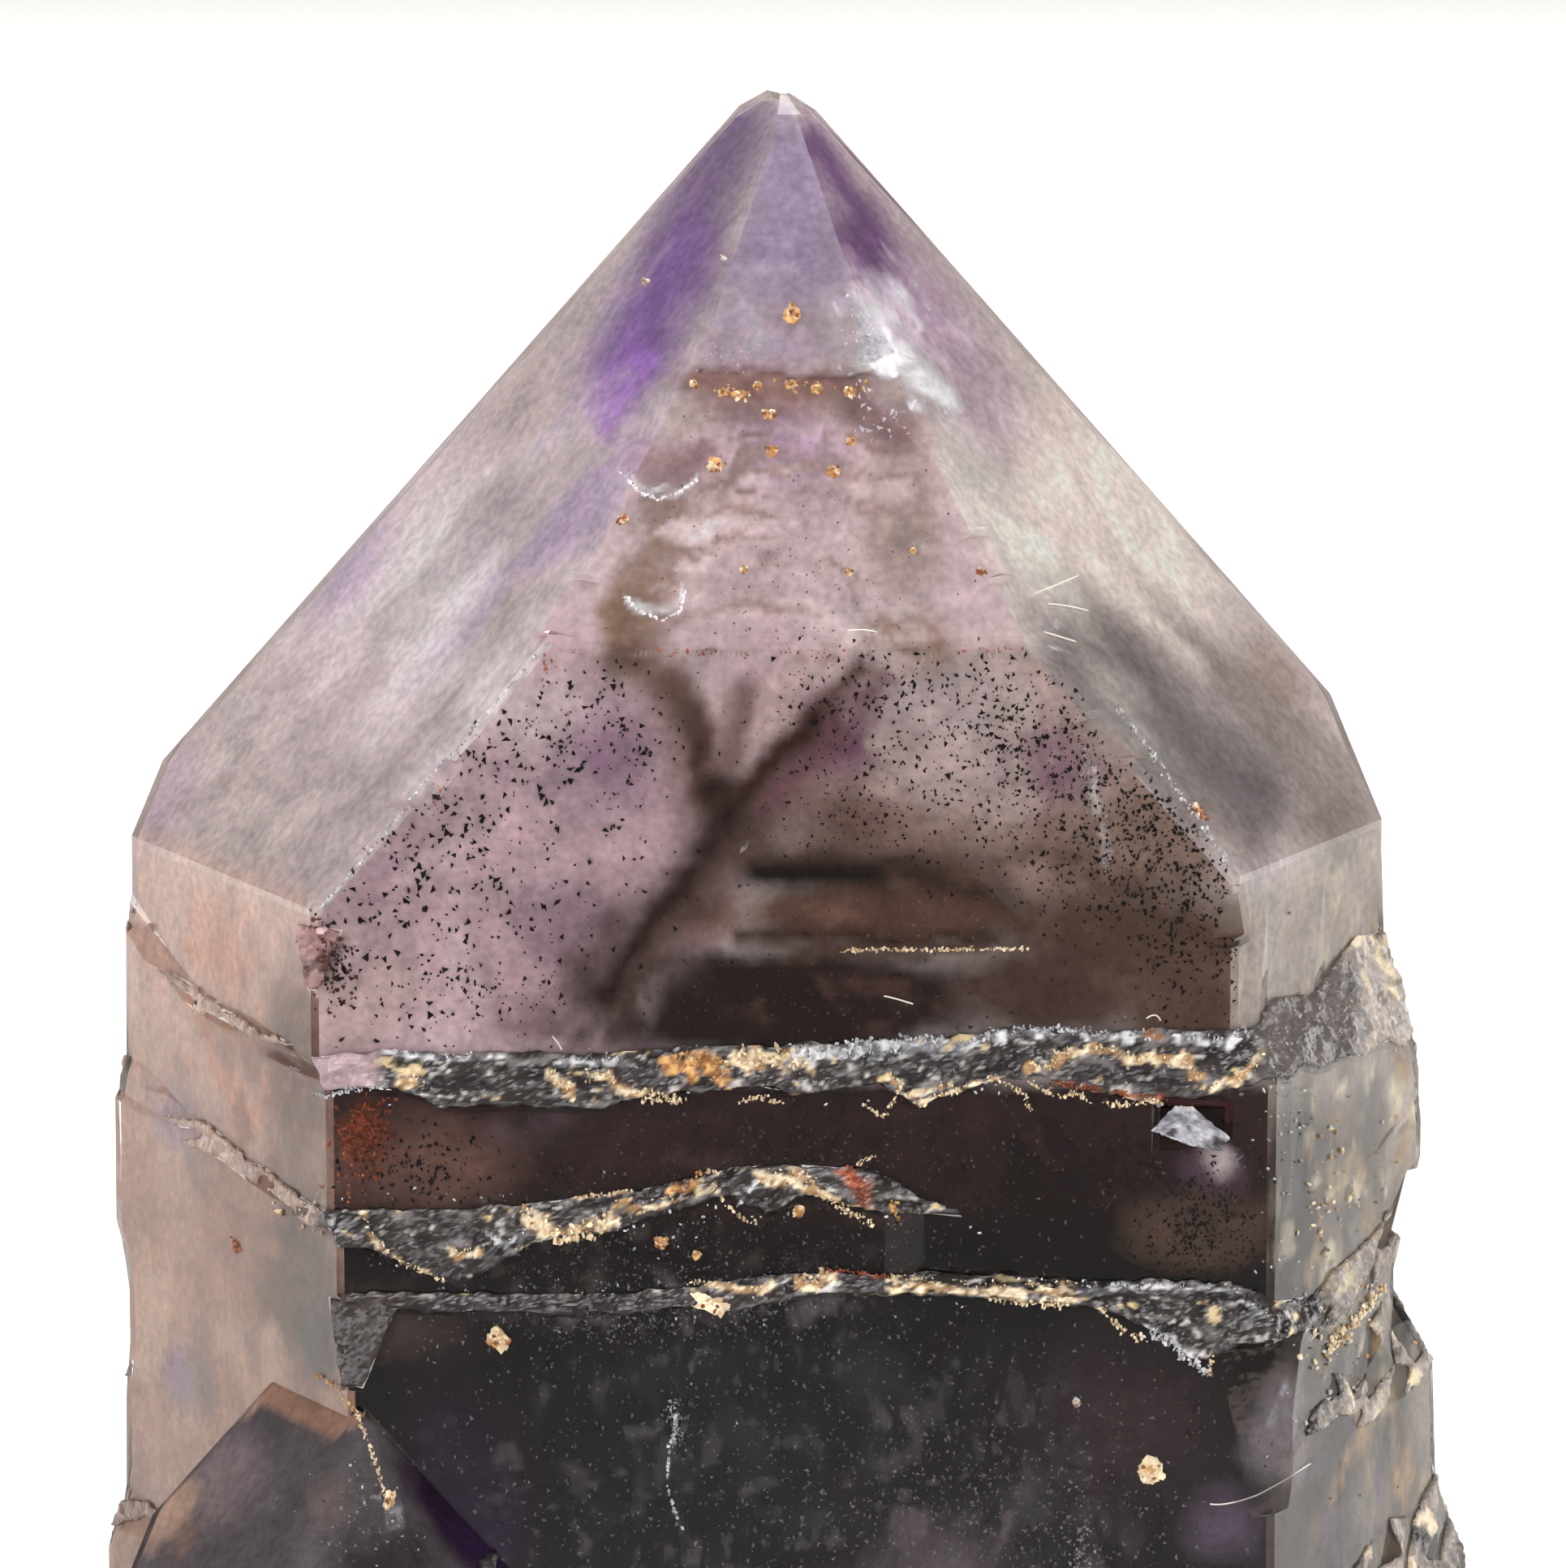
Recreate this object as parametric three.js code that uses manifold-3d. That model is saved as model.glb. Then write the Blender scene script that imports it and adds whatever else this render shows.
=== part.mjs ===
// A phantom quartz point: one smoky amethyst crystal with growth ledges and a small crystal grown on to it.
// Millimetres, +Z up. The origin is on the flat cut base, on the crystal's long axis.
// The front face looks along -Y. Faces are numbered from the front towards +X, 60 degrees apart.

import * as THREE from 'three';
import { mergeVertices } from 'three/addons/utils/BufferGeometryUtils.js';
import Module from 'manifold-3d';

// Driving sizes
const HEIGHT = 56;
const TIP_BLUNT = 0.62;
const APEX_Z = HEIGHT + TIP_BLUNT;
const PYRAMID_DROP = 1.32;
const FACE_TURN = Math.PI / 3;
const FACE_COUNT = 6;

// The outline of a face from the apex down, as points of depth below the apex and reach out from the axis.
// Most faces have one pyramid face over one upright face. lead is how far the pyramid face is pushed out.
const pyramidOutline = (lead, reach) => [[0, lead], [(reach - lead) * PYRAMID_DROP, reach]];

// Each face of the main crystal, and how many strips it has across. The front one bends twice.
const FRONT_OUTLINE = [[0, 0.08], [4.7, 4.15], [11.35, 8], [13.2, 8.12]];
const MAIN_FACES = [
  { name: 'front', outline: FRONT_OUTLINE, cells: 24 },
  { name: 'right_front', outline: pyramidOutline(0.15, 12.71), cells: 10 },
  { name: 'right_back', outline: pyramidOutline(-0.19, 10.51), cells: 9 },
  { name: 'back', outline: pyramidOutline(0.1, 11), cells: 12 },
  { name: 'left_back', outline: pyramidOutline(0.23, 12.21), cells: 9 },
  { name: 'left_front', outline: pyramidOutline(-0.27, 12.84), cells: 10 },
];

// The growth ledges, from the top down. brow and foot are the two edge lines of a ledge all round the crystal:
// each point is a place round the crystal, counted in faces, and its depth below the apex.
// step is how far each face comes out across the ledge, as places from 0 to 1 along that face.
const MAIN_LEDGES = [
  {
    name: 'first',
    brow: [
      [0, 20.6], [0.08, 20.45], [0.16, 20.6], [0.24, 20.45], [0.28, 20.6], [0.37, 20.4], [0.5, 20.35],
      [0.67, 20.2], [0.76, 19.95], [0.84, 20.1], [0.92, 19.95], [1, 20.05],
      [1.3, 19.7], [1.55, 19.8], [1.8, 19.2], [2, 18.9], [2.35, 18.9], [2.7, 19.8], [3, 20.2],
      [3.3, 20.9], [3.6, 20.5], [4, 19.6], [4.3, 18.9], [4.7, 19.3], [5, 18.6], [5.35, 20.2], [5.7, 20.3],
    ],
    foot: [
      [0, 21.2], [0.08, 21.1], [0.1, 21.6], [0.19, 21.5], [0.28, 21.6], [0.34, 21.3], [0.46, 21.1],
      [0.51, 21.3], [0.58, 20.95], [0.61, 21.75], [0.64, 21.3], [0.72, 20.9], [0.77, 20.9], [0.86, 21.5],
      [0.92, 21.35], [1, 20.9],
      [1.3, 21], [1.55, 21.1], [1.8, 21.5], [2, 22], [2.35, 21.2], [2.7, 21.3], [3, 21.4],
      [3.3, 21.7], [3.6, 21.5], [4, 20.3], [4.3, 19.8], [4.7, 19.9], [5, 19.6], [5.35, 20.7], [5.7, 20.9],
    ],
    step: [
      [[0, 0.68], [1, 0.68]],
      [[0, 1.05], [1, 0.8]],
      [[0, 0.75], [1, 0.7]],
      [[0, 0.6], [1, 0.5]],
      [[0, 0.3], [1, 0.15]],
      [[0, 0.15], [1, 0.05]],
    ],
  },
  {
    name: 'second',
    brow: [
      [0, 23.85], [0.15, 23.8], [0.22, 23.7], [0.33, 23.4], [0.39, 23.1], [0.43, 22.9], [0.48, 22.8],
      [0.54, 22.9], [0.59, 23], [0.64, 23.8], [0.71, 24], [1, 24.1],
      [1.4, 23.5], [1.7, 23.2], [2, 22.9], [2.4, 22.7], [2.7, 23.1], [3, 23.5],
      [3.25, 24], [3.6, 23.6], [4, 22.8], [4.4, 22.6], [4.75, 22.9], [5, 22.3], [5.4, 23.1], [5.8, 23.7],
    ],
    foot: [
      [0, 24.4], [0.05, 24.7], [0.1, 25.2], [0.145, 25.35], [0.18, 24.75], [0.225, 24.25], [0.28, 24.25],
      [0.33, 23.85], [0.42, 23.3], [0.47, 23.9], [0.5, 23.3], [0.57, 23.7], [0.64, 23.95], [0.71, 24.1],
      [1, 24.2],
      [1.4, 24], [1.7, 23.7], [2, 23.4], [2.4, 23.3], [2.7, 23.9], [3, 24.2],
      [3.25, 24.8], [3.6, 24.4], [4, 23.9], [4.4, 23.5], [4.75, 23.8], [5, 23.5], [5.4, 23.7], [5.8, 24.2],
    ],
    step: [
      [[0, 0.6], [0.6, 0.6], [0.63, 0], [1, 0]],
      [[0, 0], [1, 0.05]],
      [[0, 0.05], [1, 0.2]],
      [[0, 0.5], [1, 0.5]],
      [[0, 0.4], [1, 0.45]],
      [[0, 0.1], [1, 0.1]],
    ],
  },
  {
    name: 'third',
    brow: [
      [0, 25.55], [0.15, 25.55], [0.28, 25.65], [0.41, 25.35], [0.45, 25.15], [0.54, 25.1], [0.69, 25.35],
      [0.8, 25.5], [0.88, 25.4], [0.96, 25.5], [1, 25.9],
      [1.3, 26.2], [1.7, 25.3], [2, 24.4], [2.4, 24.2], [2.7, 25], [3, 25.4],
      [3.3, 26.2], [3.6, 26.5], [4, 26.1], [4.4, 26.3], [4.7, 25.9], [5, 26.2], [5.4, 26.1], [5.8, 25.8],
    ],
    foot: [
      [0, 25.85], [0.15, 25.85], [0.28, 25.95], [0.4, 25.7], [0.43, 26.05], [0.47, 25.5], [0.54, 25.45],
      [0.67, 25.5], [0.74, 25.6], [0.82, 25.75], [0.87, 26.3], [0.93, 27.2], [0.96, 26.6], [1, 26.5],
      [1.3, 27.1], [1.7, 26.6], [2, 26.4], [2.4, 26.2], [2.7, 26.2], [3, 26.6],
      [3.3, 27.1], [3.6, 27.2], [4, 27.4], [4.4, 27.6], [4.7, 27.1], [5, 27.6], [5.4, 26.7], [5.8, 26.2],
    ],
    step: [
      [[0, 0.4], [0.6, 0.4], [0.63, 1], [1, 1]],
      [[0, 0.45], [1, 0.2]],
      [[0, -1.35], [1, -0.6]],
      [[0, 0.3], [1, 0.2]],
      [[0, -0.5], [1, -0.55]],
      [[0, 0], [1, 0]],
    ],
  },
  {
    name: 'fourth',
    brow: [
      [0, 29], [0.5, 29.2], [0.75, 29.4], [1, 28.8], [1.3, 28], [1.6, 28.3], [1.85, 27.4], [2, 27],
      [2.3, 27.2], [2.7, 28], [3, 28.6], [3.4, 28.9], [4, 28.9], [4.5, 29.2], [5, 29], [5.5, 29.2],
    ],
    foot: [
      [0, 30], [0.5, 30.1], [0.75, 30.2], [1, 30.2], [1.3, 29.5], [1.6, 29.6], [1.85, 29.3], [2, 29.1],
      [2.3, 29.4], [2.7, 30], [3, 30], [3.4, 30.1], [4, 30.2], [4.5, 30.4], [5, 30.2], [5.5, 30.4],
    ],
    step: [
      [[0, 0], [1, 0]],
      [[0, 0.05], [0.5, 0.25], [1, 0.35]],
      [[0, 1.5], [1, 0.9]],
      [[0, 0.2], [1, 0.2]],
      [[0, 0.2], [1, 0.2]],
      [[0, 0], [1, 0]],
    ],
  },
  {
    name: 'fifth',
    brow: [
      [0, 33.4], [0.5, 33.8], [1, 33], [1.3, 32.6], [1.7, 32.1], [2, 31.6], [2.4, 32], [2.8, 32.9],
      [3.2, 33.6], [3.6, 33.1], [4, 32.3], [4.4, 31.8], [4.8, 32], [5, 32.3], [5.5, 32.9],
    ],
    foot: [
      [0, 34.3], [0.5, 34.6], [1, 34.2], [1.3, 34.3], [1.7, 34.1], [2, 34], [2.4, 34.3], [2.8, 34.6],
      [3.2, 35], [3.6, 34.4], [4, 33.8], [4.4, 33.4], [4.8, 33.5], [5, 33.8], [5.5, 34.1],
    ],
    step: [
      [[0, 0], [0.6, 0.05], [1, 0.3]],
      [[0, 0.4], [1, 0.45]],
      [[0, 0.9], [1, 0.5]],
      [[0, 0.5], [1, 0.6]],
      [[0, 0.6], [1, 0.5]],
      [[0, 0.3], [1, 0]],
    ],
  },
  {
    name: 'sixth',
    brow: [
      [0, 38.2], [0.2, 38.6], [0.45, 38], [0.7, 38.5], [1, 38], [1.4, 38.8], [2, 38.2], [2.5, 39.2],
      [3, 39.6], [3.4, 38.9], [4, 39.3], [4.6, 38.2], [5, 38], [5.5, 37.6],
    ],
    foot: [
      [0, 38.9], [0.2, 39.5], [0.45, 38.8], [0.7, 39.4], [1, 39], [1.4, 39.5], [2, 39.4], [2.5, 40],
      [3, 40.2], [3.4, 39.9], [4, 40], [4.6, 39.2], [5, 38.9], [5.5, 38.5],
    ],
    step: [
      [[0, 0.5], [1, 0.45]],
      [[0, 0.2], [1, 0.2]],
      [[0, 0.2], [1, 0.3]],
      [[0, 0.4], [1, 0.4]],
      [[0, 0.3], [1, 0.3]],
      [[0, 0.4], [1, 0.3]],
    ],
  },
  {
    name: 'seventh',
    brow: [
      [0, 46.5], [0.3, 46], [0.6, 46.8], [1, 46.2], [1.5, 45.6], [2, 45], [2.5, 45.6], [3, 46.6],
      [3.5, 47], [4, 46.2], [4.5, 46.8], [5, 46.5], [5.5, 46],
    ],
    foot: [
      [0, 47.4], [0.3, 47], [0.6, 47.5], [1, 47.4], [1.5, 47], [2, 46.9], [2.5, 47], [3, 47.6],
      [3.5, 47.9], [4, 47.7], [4.5, 48], [5, 47.6], [5.5, 47.1],
    ],
    step: [
      [[0, 0.3], [0.5, 0.35], [1, 0.2]],
      [[0, -0.3], [1, -0.5]],
      [[0, -0.7], [1, -0.3]],
      [[0, 0.2], [1, 0]],
      [[0, -0.3], [1, -0.4]],
      [[0, -0.2], [1, 0.1]],
    ],
  },
];

// How rough a ledge's slope is, how ragged its lines are as a share of its height, the step from which a ledge
// is fully rough, and where across it the rows of points lie
const LEDGE_ROUGHNESS = 0.16;
const LEDGE_RAGGEDNESS = 0.27;
const FULL_STEP = 0.4;
const LEDGE_ROWS = [0, 0.3, 0.68, 1];

// The small crystal grown on to the lower left front. Its apex is just inside the main crystal's corner.
const SIDE_APEX = { x: -9.1, y: -9.8, depth: 27.95 };
const SIDE_FACES = [
  { name: 'side_front', outline: pyramidOutline(0, 4.4), cells: 4 },
  { name: 'side_right_front', outline: pyramidOutline(0, 4.7), cells: 3 },
  { name: 'side_right_back', outline: pyramidOutline(3.2, 6.4), cells: 1 },
  { name: 'side_back', outline: pyramidOutline(3.3, 6.6), cells: 1 },
  { name: 'side_left_back', outline: pyramidOutline(3.06, 5.6), cells: 2 },
  { name: 'side_left_front', outline: pyramidOutline(0, 4.1), cells: 4 },
];
const SIDE_LEDGES = [
  {
    name: 'side_first',
    brow: [[0, 8.9], [0.5, 9.4], [1, 9], [2, 9.2], [4, 9.6], [5, 9.3], [5.5, 8.6]],
    foot: [[0, 9.6], [0.5, 10], [1, 9.8], [2, 9.9], [4, 10.2], [5, 9.9], [5.5, 9.3]],
    step: [
      [[0, 0.4], [1, 0.4]],
      [[0, 0.3], [1, 0.3]],
      [[0, 0], [1, 0]],
      [[0, 0], [1, 0]],
      [[0, 0.4], [1, 0.4]],
      [[0, 0.45], [1, 0.45]],
    ],
  },
  {
    name: 'side_second',
    brow: [[0, 18.4], [0.5, 17.9], [1, 18.5], [2, 18.4], [4, 18.2], [5, 17.8], [5.5, 18.6]],
    foot: [[0, 19.3], [0.5, 18.8], [1, 19.3], [2, 19.2], [4, 19.2], [5, 18.9], [5.5, 19.4]],
    step: [
      [[0, -0.5], [1, -0.6]],
      [[0, -0.5], [1, -0.4]],
      [[0, 0], [1, 0]],
      [[0, 0], [1, 0]],
      [[0, -0.6], [1, -0.5]],
      [[0, -0.4], [1, -0.6]],
    ],
  },
];

// Both crystals. tip gives the first rows of points: the depth of each and how wide it is, 1 being full width.
const MAIN_CRYSTAL = {
  faces: MAIN_FACES,
  ledges: MAIN_LEDGES,
  tip: [[TIP_BLUNT, 0.45], [1, 1]],
  end: APEX_Z,
};
const SIDE_CRYSTAL = {
  faces: SIDE_FACES,
  ledges: SIDE_LEDGES,
  tip: [[0.02, 1]],
  end: APEX_Z - SIDE_APEX.depth,
};

// Fresh breaks, each a flat scar on the main crystal. place counts faces round it, a whole number being a
// corner, depth is below the apex, and bite is how far in the scar lies. azimuth and rise say the way it looks.
const SCAR_THICK = 3;
const SCARS = [
  { name: 'lower_right_corner', place: 1, depth: 28.5, bite: 0.42, azimuth: 40, rise: 7, across: 6, high: 3.8 },
  { name: 'over_side_crystal', place: 0, depth: 26.6, bite: 0.32, azimuth: -26, rise: 10, across: 5, high: 1.9 },
  { name: 'left_shoulder', place: 0, depth: 18.4, bite: 0.22, azimuth: -30, rise: 12, across: 3, high: 1.4 },
  { name: 'right_shoulder', place: 1, depth: 17.4, bite: 0.2, azimuth: 32, rise: -9, across: 3, high: 1.2 },
  { name: 'white_fracture', place: 1, depth: 6.6, bite: 0.22, azimuth: 30, rise: 47, across: 3, high: 2.4 },
  { name: 'right_edge_chip', place: 1, depth: 9.6, bite: 0.16, azimuth: 34, rise: 40, across: 3, high: 1.2 },
  { name: 'left_edge_chip', place: 0, depth: 10.6, bite: 0.2, azimuth: -27, rise: 34, across: 3, high: 1.5 },
  { name: 'left_slope_chip', place: 0, depth: 14.4, bite: 0.18, azimuth: -36, rise: 22, across: 3, high: 1.3 },
  { name: 'right_slope_chip', place: 1, depth: 13.4, bite: 0.18, azimuth: 36, rise: 24, across: 3, high: 1.1 },
  { name: 'lip_pit', place: 0.915, depth: 21.95, bite: 0.22, azimuth: -8, rise: 24, across: 1.6, high: 1.1 },
  { name: 'right_corner_chip', place: 2, depth: 25.2, bite: 0.25, azimuth: 84, rise: -14, across: 5, high: 1.4 },
  { name: 'back_corner_chip', place: 3, depth: 16.8, bite: 0.35, azimuth: 152, rise: 16, across: 5, high: 2 },
  { name: 'back_left_chip', place: 4, depth: 30.6, bite: 0.5, azimuth: -148, rise: -12, across: 5, high: 2.6 },
  { name: 'base_front_right', place: 1, depth: 56.5, bite: 1.3, azimuth: 26, rise: -40, across: 14, high: 9 },
  { name: 'base_right', place: 2, depth: 56.5, bite: 1.7, azimuth: 98, rise: -46, across: 14, high: 9 },
  { name: 'base_back_right', place: 3, depth: 56.5, bite: 1.1, azimuth: 140, rise: -38, across: 14, high: 9 },
  { name: 'base_back_left', place: 4, depth: 56.5, bite: 1.5, azimuth: 214, rise: -44, across: 14, high: 9 },
  { name: 'base_left', place: 4.98, depth: 56.5, bite: 1.2, azimuth: 262, rise: -42, across: 14, high: 9 },
];

const degrees = (angle) => THREE.MathUtils.degToRad(angle);

const wasm = await Module();
wasm.setup();

// A repeatable unevenness between -0.5 and 0.5 for a numbered place.
function unevenness(first, second) {
  const wave = Math.sin(first * 12.9898 + second * 78.233) * 43758.5453;
  return wave - Math.floor(wave) - 0.5;
}

// The value at a place on a line of points. With a period the line runs round and joins its own start.
function valueAt(points, place, period = 0) {
  const line = period ? [...points, [points[0][0] + period, points[0][1]]] : points;
  const after = line.findIndex((point) => point[0] > place);
  if (after < 0) {
    return line[line.length - 1][1];
  }
  const [startPlace, startValue] = line[after - 1];
  const [endPlace, endValue] = line[after];
  return THREE.MathUtils.mapLinear(place, startPlace, endPlace, startValue, endValue);
}

// How far a face lies from the axis: by its own outline, then out or in by each ledge passed.
function reachAt(crystal, index, along, depth) {
  let reach = valueAt(crystal.faces[index].outline, depth);
  crystal.ledges.forEach((ledge) => {
    const brow = valueAt(ledge.brow, index + along, FACE_COUNT);
    const foot = valueAt(ledge.foot, index + along, FACE_COUNT);
    const share = THREE.MathUtils.clamp((depth - brow) / (foot - brow), 0, 1);
    reach += share * valueAt(ledge.step[index], along);
  });
  return reach;
}

// A row of points round a crystal: the depth of each point, how rough the face is there and how wide the row is.
function levelRow(depth, width = 1) {
  return { depthAt: () => depth, roughnessAt: () => 0, width };
}

function ledgeRow(ledge, ledgeIndex, share) {
  const onSlope = share > 0 && share < 1;
  return {
    depthAt: (index, along) => {
      const place = index + along;
      const brow = valueAt(ledge.brow, place, FACE_COUNT);
      const foot = valueAt(ledge.foot, place, FACE_COUNT);
      const ragged = index > 0 ? unevenness(place * 7, ledgeIndex * 10 + share) * LEDGE_RAGGEDNESS : 0;
      return THREE.MathUtils.lerp(brow, foot, share + ragged);
    },
    roughnessAt: (index, along) => {
      const rough = unevenness(index * 31 + along * 97, ledgeIndex + share) * LEDGE_ROUGHNESS;
      const stepShare = Math.min(1, Math.abs(valueAt(ledge.step[index], along)) / FULL_STEP);
      return onSlope ? rough * stepShare : 0;
    },
    width: 1,
  };
}

// The rows of a crystal from its tip to its base: one at each bend of a face and a few on each ledge.
function crystalRows(crystal) {
  const bends = crystal.faces.flatMap((face) => face.outline.slice(1).map((point) => point[0]));
  bends.sort((first, second) => first - second);
  const rows = crystal.tip.map(([depth, width]) => levelRow(depth, width));
  bends.forEach((depth) => rows.push(levelRow(depth)));
  crystal.ledges.forEach((ledge, ledgeIndex) => {
    LEDGE_ROWS.forEach((share) => rows.push(ledgeRow(ledge, ledgeIndex, share)));
  });
  rows.push(levelRow(crystal.end));
  return rows;
}

// The place of one point: on its face's plane, between the corners that the plane makes with its neighbours.
function surfacePoint(crystal, row, index, along) {
  const before = (index + FACE_COUNT - 1) % FACE_COUNT;
  const after = (index + 1) % FACE_COUNT;
  const reach = (face, place) => {
    const corner = face === index ? place : 1 - place;
    return reachAt(crystal, face, corner, row.depthAt(index, place)) + row.roughnessAt(face, corner);
  };
  const cornerAlong = (own, other) => (other - own * Math.cos(FACE_TURN)) / Math.sin(FACE_TURN);
  const startAlong = -cornerAlong(reach(index, 0), reach(before, 0));
  const endAlong = cornerAlong(reach(index, 1), reach(after, 1));
  const sideways = THREE.MathUtils.lerp(startAlong, endAlong, along) * row.width;
  const outwards = reach(index, along) * row.width;
  const azimuth = index * FACE_TURN;
  const x = Math.sin(azimuth) * outwards + Math.cos(azimuth) * sideways;
  const y = -Math.cos(azimuth) * outwards + Math.sin(azimuth) * sideways;
  return new THREE.Vector3(x, y, APEX_Z - row.depthAt(index, along));
}

// A six-sided crystal: a cylinder whose rings are drawn out to the rows of the crystal's faces.
function crystalGeometry(crystal) {
  const rows = crystalRows(crystal);
  const columns = [];
  crystal.faces.forEach((face, index) => {
    for (let cell = 0; cell < face.cells; cell += 1) {
      columns.push({ index, along: cell / face.cells });
    }
  });
  const strips = rows.length - 1;
  const geometry = new THREE.CylinderGeometry(1, 1, strips, columns.length, strips);
  const position = geometry.getAttribute('position');
  for (let vertex = 0; vertex < position.count; vertex += 1) {
    const ringX = position.getX(vertex);
    const ringZ = position.getZ(vertex);
    const row = rows[Math.round(strips / 2 - position.getY(vertex))];
    const isCentre = Math.hypot(ringX, ringZ) < 0.5;
    const turn = (Math.atan2(ringX, ringZ) + 2 * Math.PI) / (2 * Math.PI);
    const column = columns[Math.round(turn * columns.length) % columns.length];
    const centre = new THREE.Vector3(0, 0, APEX_Z - row.depthAt(0, 0));
    const place = isCentre ? centre : surfacePoint(crystal, row, column.index, column.along);
    position.setXYZ(vertex, place.x, place.y, place.z);
  }
  return geometry;
}

function toSolid(geometry) {
  const plain = geometry.clone();
  plain.deleteAttribute('normal');
  plain.deleteAttribute('uv');
  const merged = mergeVertices(plain, 1e-5);
  return new wasm.Manifold(new wasm.Mesh({
    numProp: 3,
    vertProperties: new Float32Array(merged.getAttribute('position').array),
    triVerts: new Uint32Array(merged.getIndex().array),
  }));
}

function toGeometry(solid) {
  const mesh = solid.getMesh();
  const geometry = new THREE.BufferGeometry();
  geometry.setAttribute('position', new THREE.BufferAttribute(new Float32Array(mesh.vertProperties), 3));
  geometry.setIndex(new THREE.BufferAttribute(new Uint32Array(mesh.triVerts), 1));
  geometry.computeVertexNormals();
  return geometry;
}

// The block that a scar takes away: its inner side faces outwards and lies a bite below the surface.
function scarGeometry(scar) {
  const index = Math.floor(scar.place) % FACE_COUNT;
  const along = scar.place - Math.floor(scar.place);
  const surface = surfacePoint(MAIN_CRYSTAL, levelRow(scar.depth), index, along);
  const block = new THREE.BoxGeometry(scar.across, SCAR_THICK, scar.high);
  block.translate(0, scar.bite - SCAR_THICK / 2, 0);
  block.rotateX(degrees(-scar.rise));
  block.rotateZ(degrees(scar.azimuth));
  return block.translate(surface.x, surface.y, surface.z);
}

function sideCrystalGeometry() {
  const geometry = crystalGeometry(SIDE_CRYSTAL);
  return geometry.translate(SIDE_APEX.x, SIDE_APEX.y, -SIDE_APEX.depth);
}

function crystalSolid() {
  const grown = toSolid(crystalGeometry(MAIN_CRYSTAL)).add(toSolid(sideCrystalGeometry()));
  return SCARS.reduce((solid, scar) => solid.subtract(toSolid(scarGeometry(scar))), grown);
}

const smokyAmethyst = new THREE.MeshStandardMaterial({ color: 0x8a7f8f, roughness: 0.15, metalness: 0 });

const crystalPoint = new THREE.Mesh(toGeometry(crystalSolid()), smokyAmethyst);
crystalPoint.name = 'crystal_point';

const phantomQuartzPoint = new THREE.Group();
phantomQuartzPoint.add(crystalPoint);

export default phantomQuartzPoint;
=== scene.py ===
import math
import random
from contextlib import contextmanager

import bpy
import numpy as np
from mathutils import Euler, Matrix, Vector, noise
from mathutils.bvhtree import BVHTree


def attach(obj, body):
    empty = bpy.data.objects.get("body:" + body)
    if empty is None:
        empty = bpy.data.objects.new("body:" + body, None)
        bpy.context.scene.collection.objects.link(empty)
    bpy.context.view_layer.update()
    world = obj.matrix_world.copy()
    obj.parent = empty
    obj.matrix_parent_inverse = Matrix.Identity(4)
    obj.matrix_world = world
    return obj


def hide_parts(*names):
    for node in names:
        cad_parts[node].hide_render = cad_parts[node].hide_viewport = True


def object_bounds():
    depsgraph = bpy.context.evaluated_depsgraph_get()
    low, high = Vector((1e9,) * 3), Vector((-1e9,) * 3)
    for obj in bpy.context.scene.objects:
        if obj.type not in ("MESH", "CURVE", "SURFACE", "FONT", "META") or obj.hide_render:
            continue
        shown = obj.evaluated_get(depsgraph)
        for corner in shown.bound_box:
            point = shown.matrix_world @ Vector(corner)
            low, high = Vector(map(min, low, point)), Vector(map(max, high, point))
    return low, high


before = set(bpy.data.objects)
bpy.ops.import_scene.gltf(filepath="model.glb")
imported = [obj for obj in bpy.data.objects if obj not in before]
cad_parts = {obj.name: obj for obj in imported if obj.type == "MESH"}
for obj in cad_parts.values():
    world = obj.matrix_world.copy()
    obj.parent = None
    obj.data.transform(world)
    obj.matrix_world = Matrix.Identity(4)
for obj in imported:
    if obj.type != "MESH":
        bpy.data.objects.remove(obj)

bl_info = {
    "name": "Phantom quartz point",
    "version": (1, 0, 0),
    "blender": (4, 5, 0),
    "location": "View3D > Sidebar > Quartz",
    "description": "Dresses a solid crystal as clear, smoky and violet quartz with phantoms inside",
    "category": "Object",
}

MM = 0.001
NODE = "crystal_point"
BODY = "root"
CAD_LOW, CAD_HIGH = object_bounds()

# Sizes and places below are in millimetres unless their comment says otherwise.

# The photograph's camera: its angle above the level in degrees, its distance, the point it looks at and its
# lens
CAMERA_RISE = 12.0
CAMERA_DISTANCE = 230.0
CAMERA_AIM = (0.11, 0.0, 40.36)
CAMERA_LENS = 235.7

# How the room's light changes from front to back and with height: the two directions that it changes
# between, from -1 to 1, and its strength at both
LIGHT_BY_DEPTH = (-0.5, 0.5, 1.0, 0.6)
LIGHT_BY_HEIGHT = (0.04, 0.3, 8.5, 0.12)

# The soft square light above and behind: its side and its place in metres, and its spread in degrees
TOP_LIGHT_SIDE = 0.5
TOP_LIGHT_PLACE = (0, 0.2, 0.27)
TOP_LIGHT_SPREAD = 60

# The main crystal's own faces: the fall of its pyramid for each millimetre out, and how far each upright
# face lies from the axis. The front face comes first, 60 degrees to the next.
PYRAMID_DROP = 1.32
FACE_REACH = (8.12, 12.71, 10.51, 11.0, 12.21, 12.84)

# The sine and cosine of the way down the slopes, and half a width that holds the whole crystal
SLOPE_SINE = 0.657
SLOPE_COSINE = 0.754
WHOLE = 30

# Where lines shot at the crystal from the front start, in metres, and the y of a face's direction below
# which it looks forwards
SHOT_FROM = -0.05
FACES_FRONT = -0.75

# Noise: its seed, without which Blender starts it from the clock, and its usual swing before it is scaled.
# Paint: the lightest linear colour. Edges: how often they are halved.
NOISE_SEED = 7
USUAL_SWING = 0.32
BRIGHTEST = 0.93
MOST_HALVINGS = 10

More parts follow.
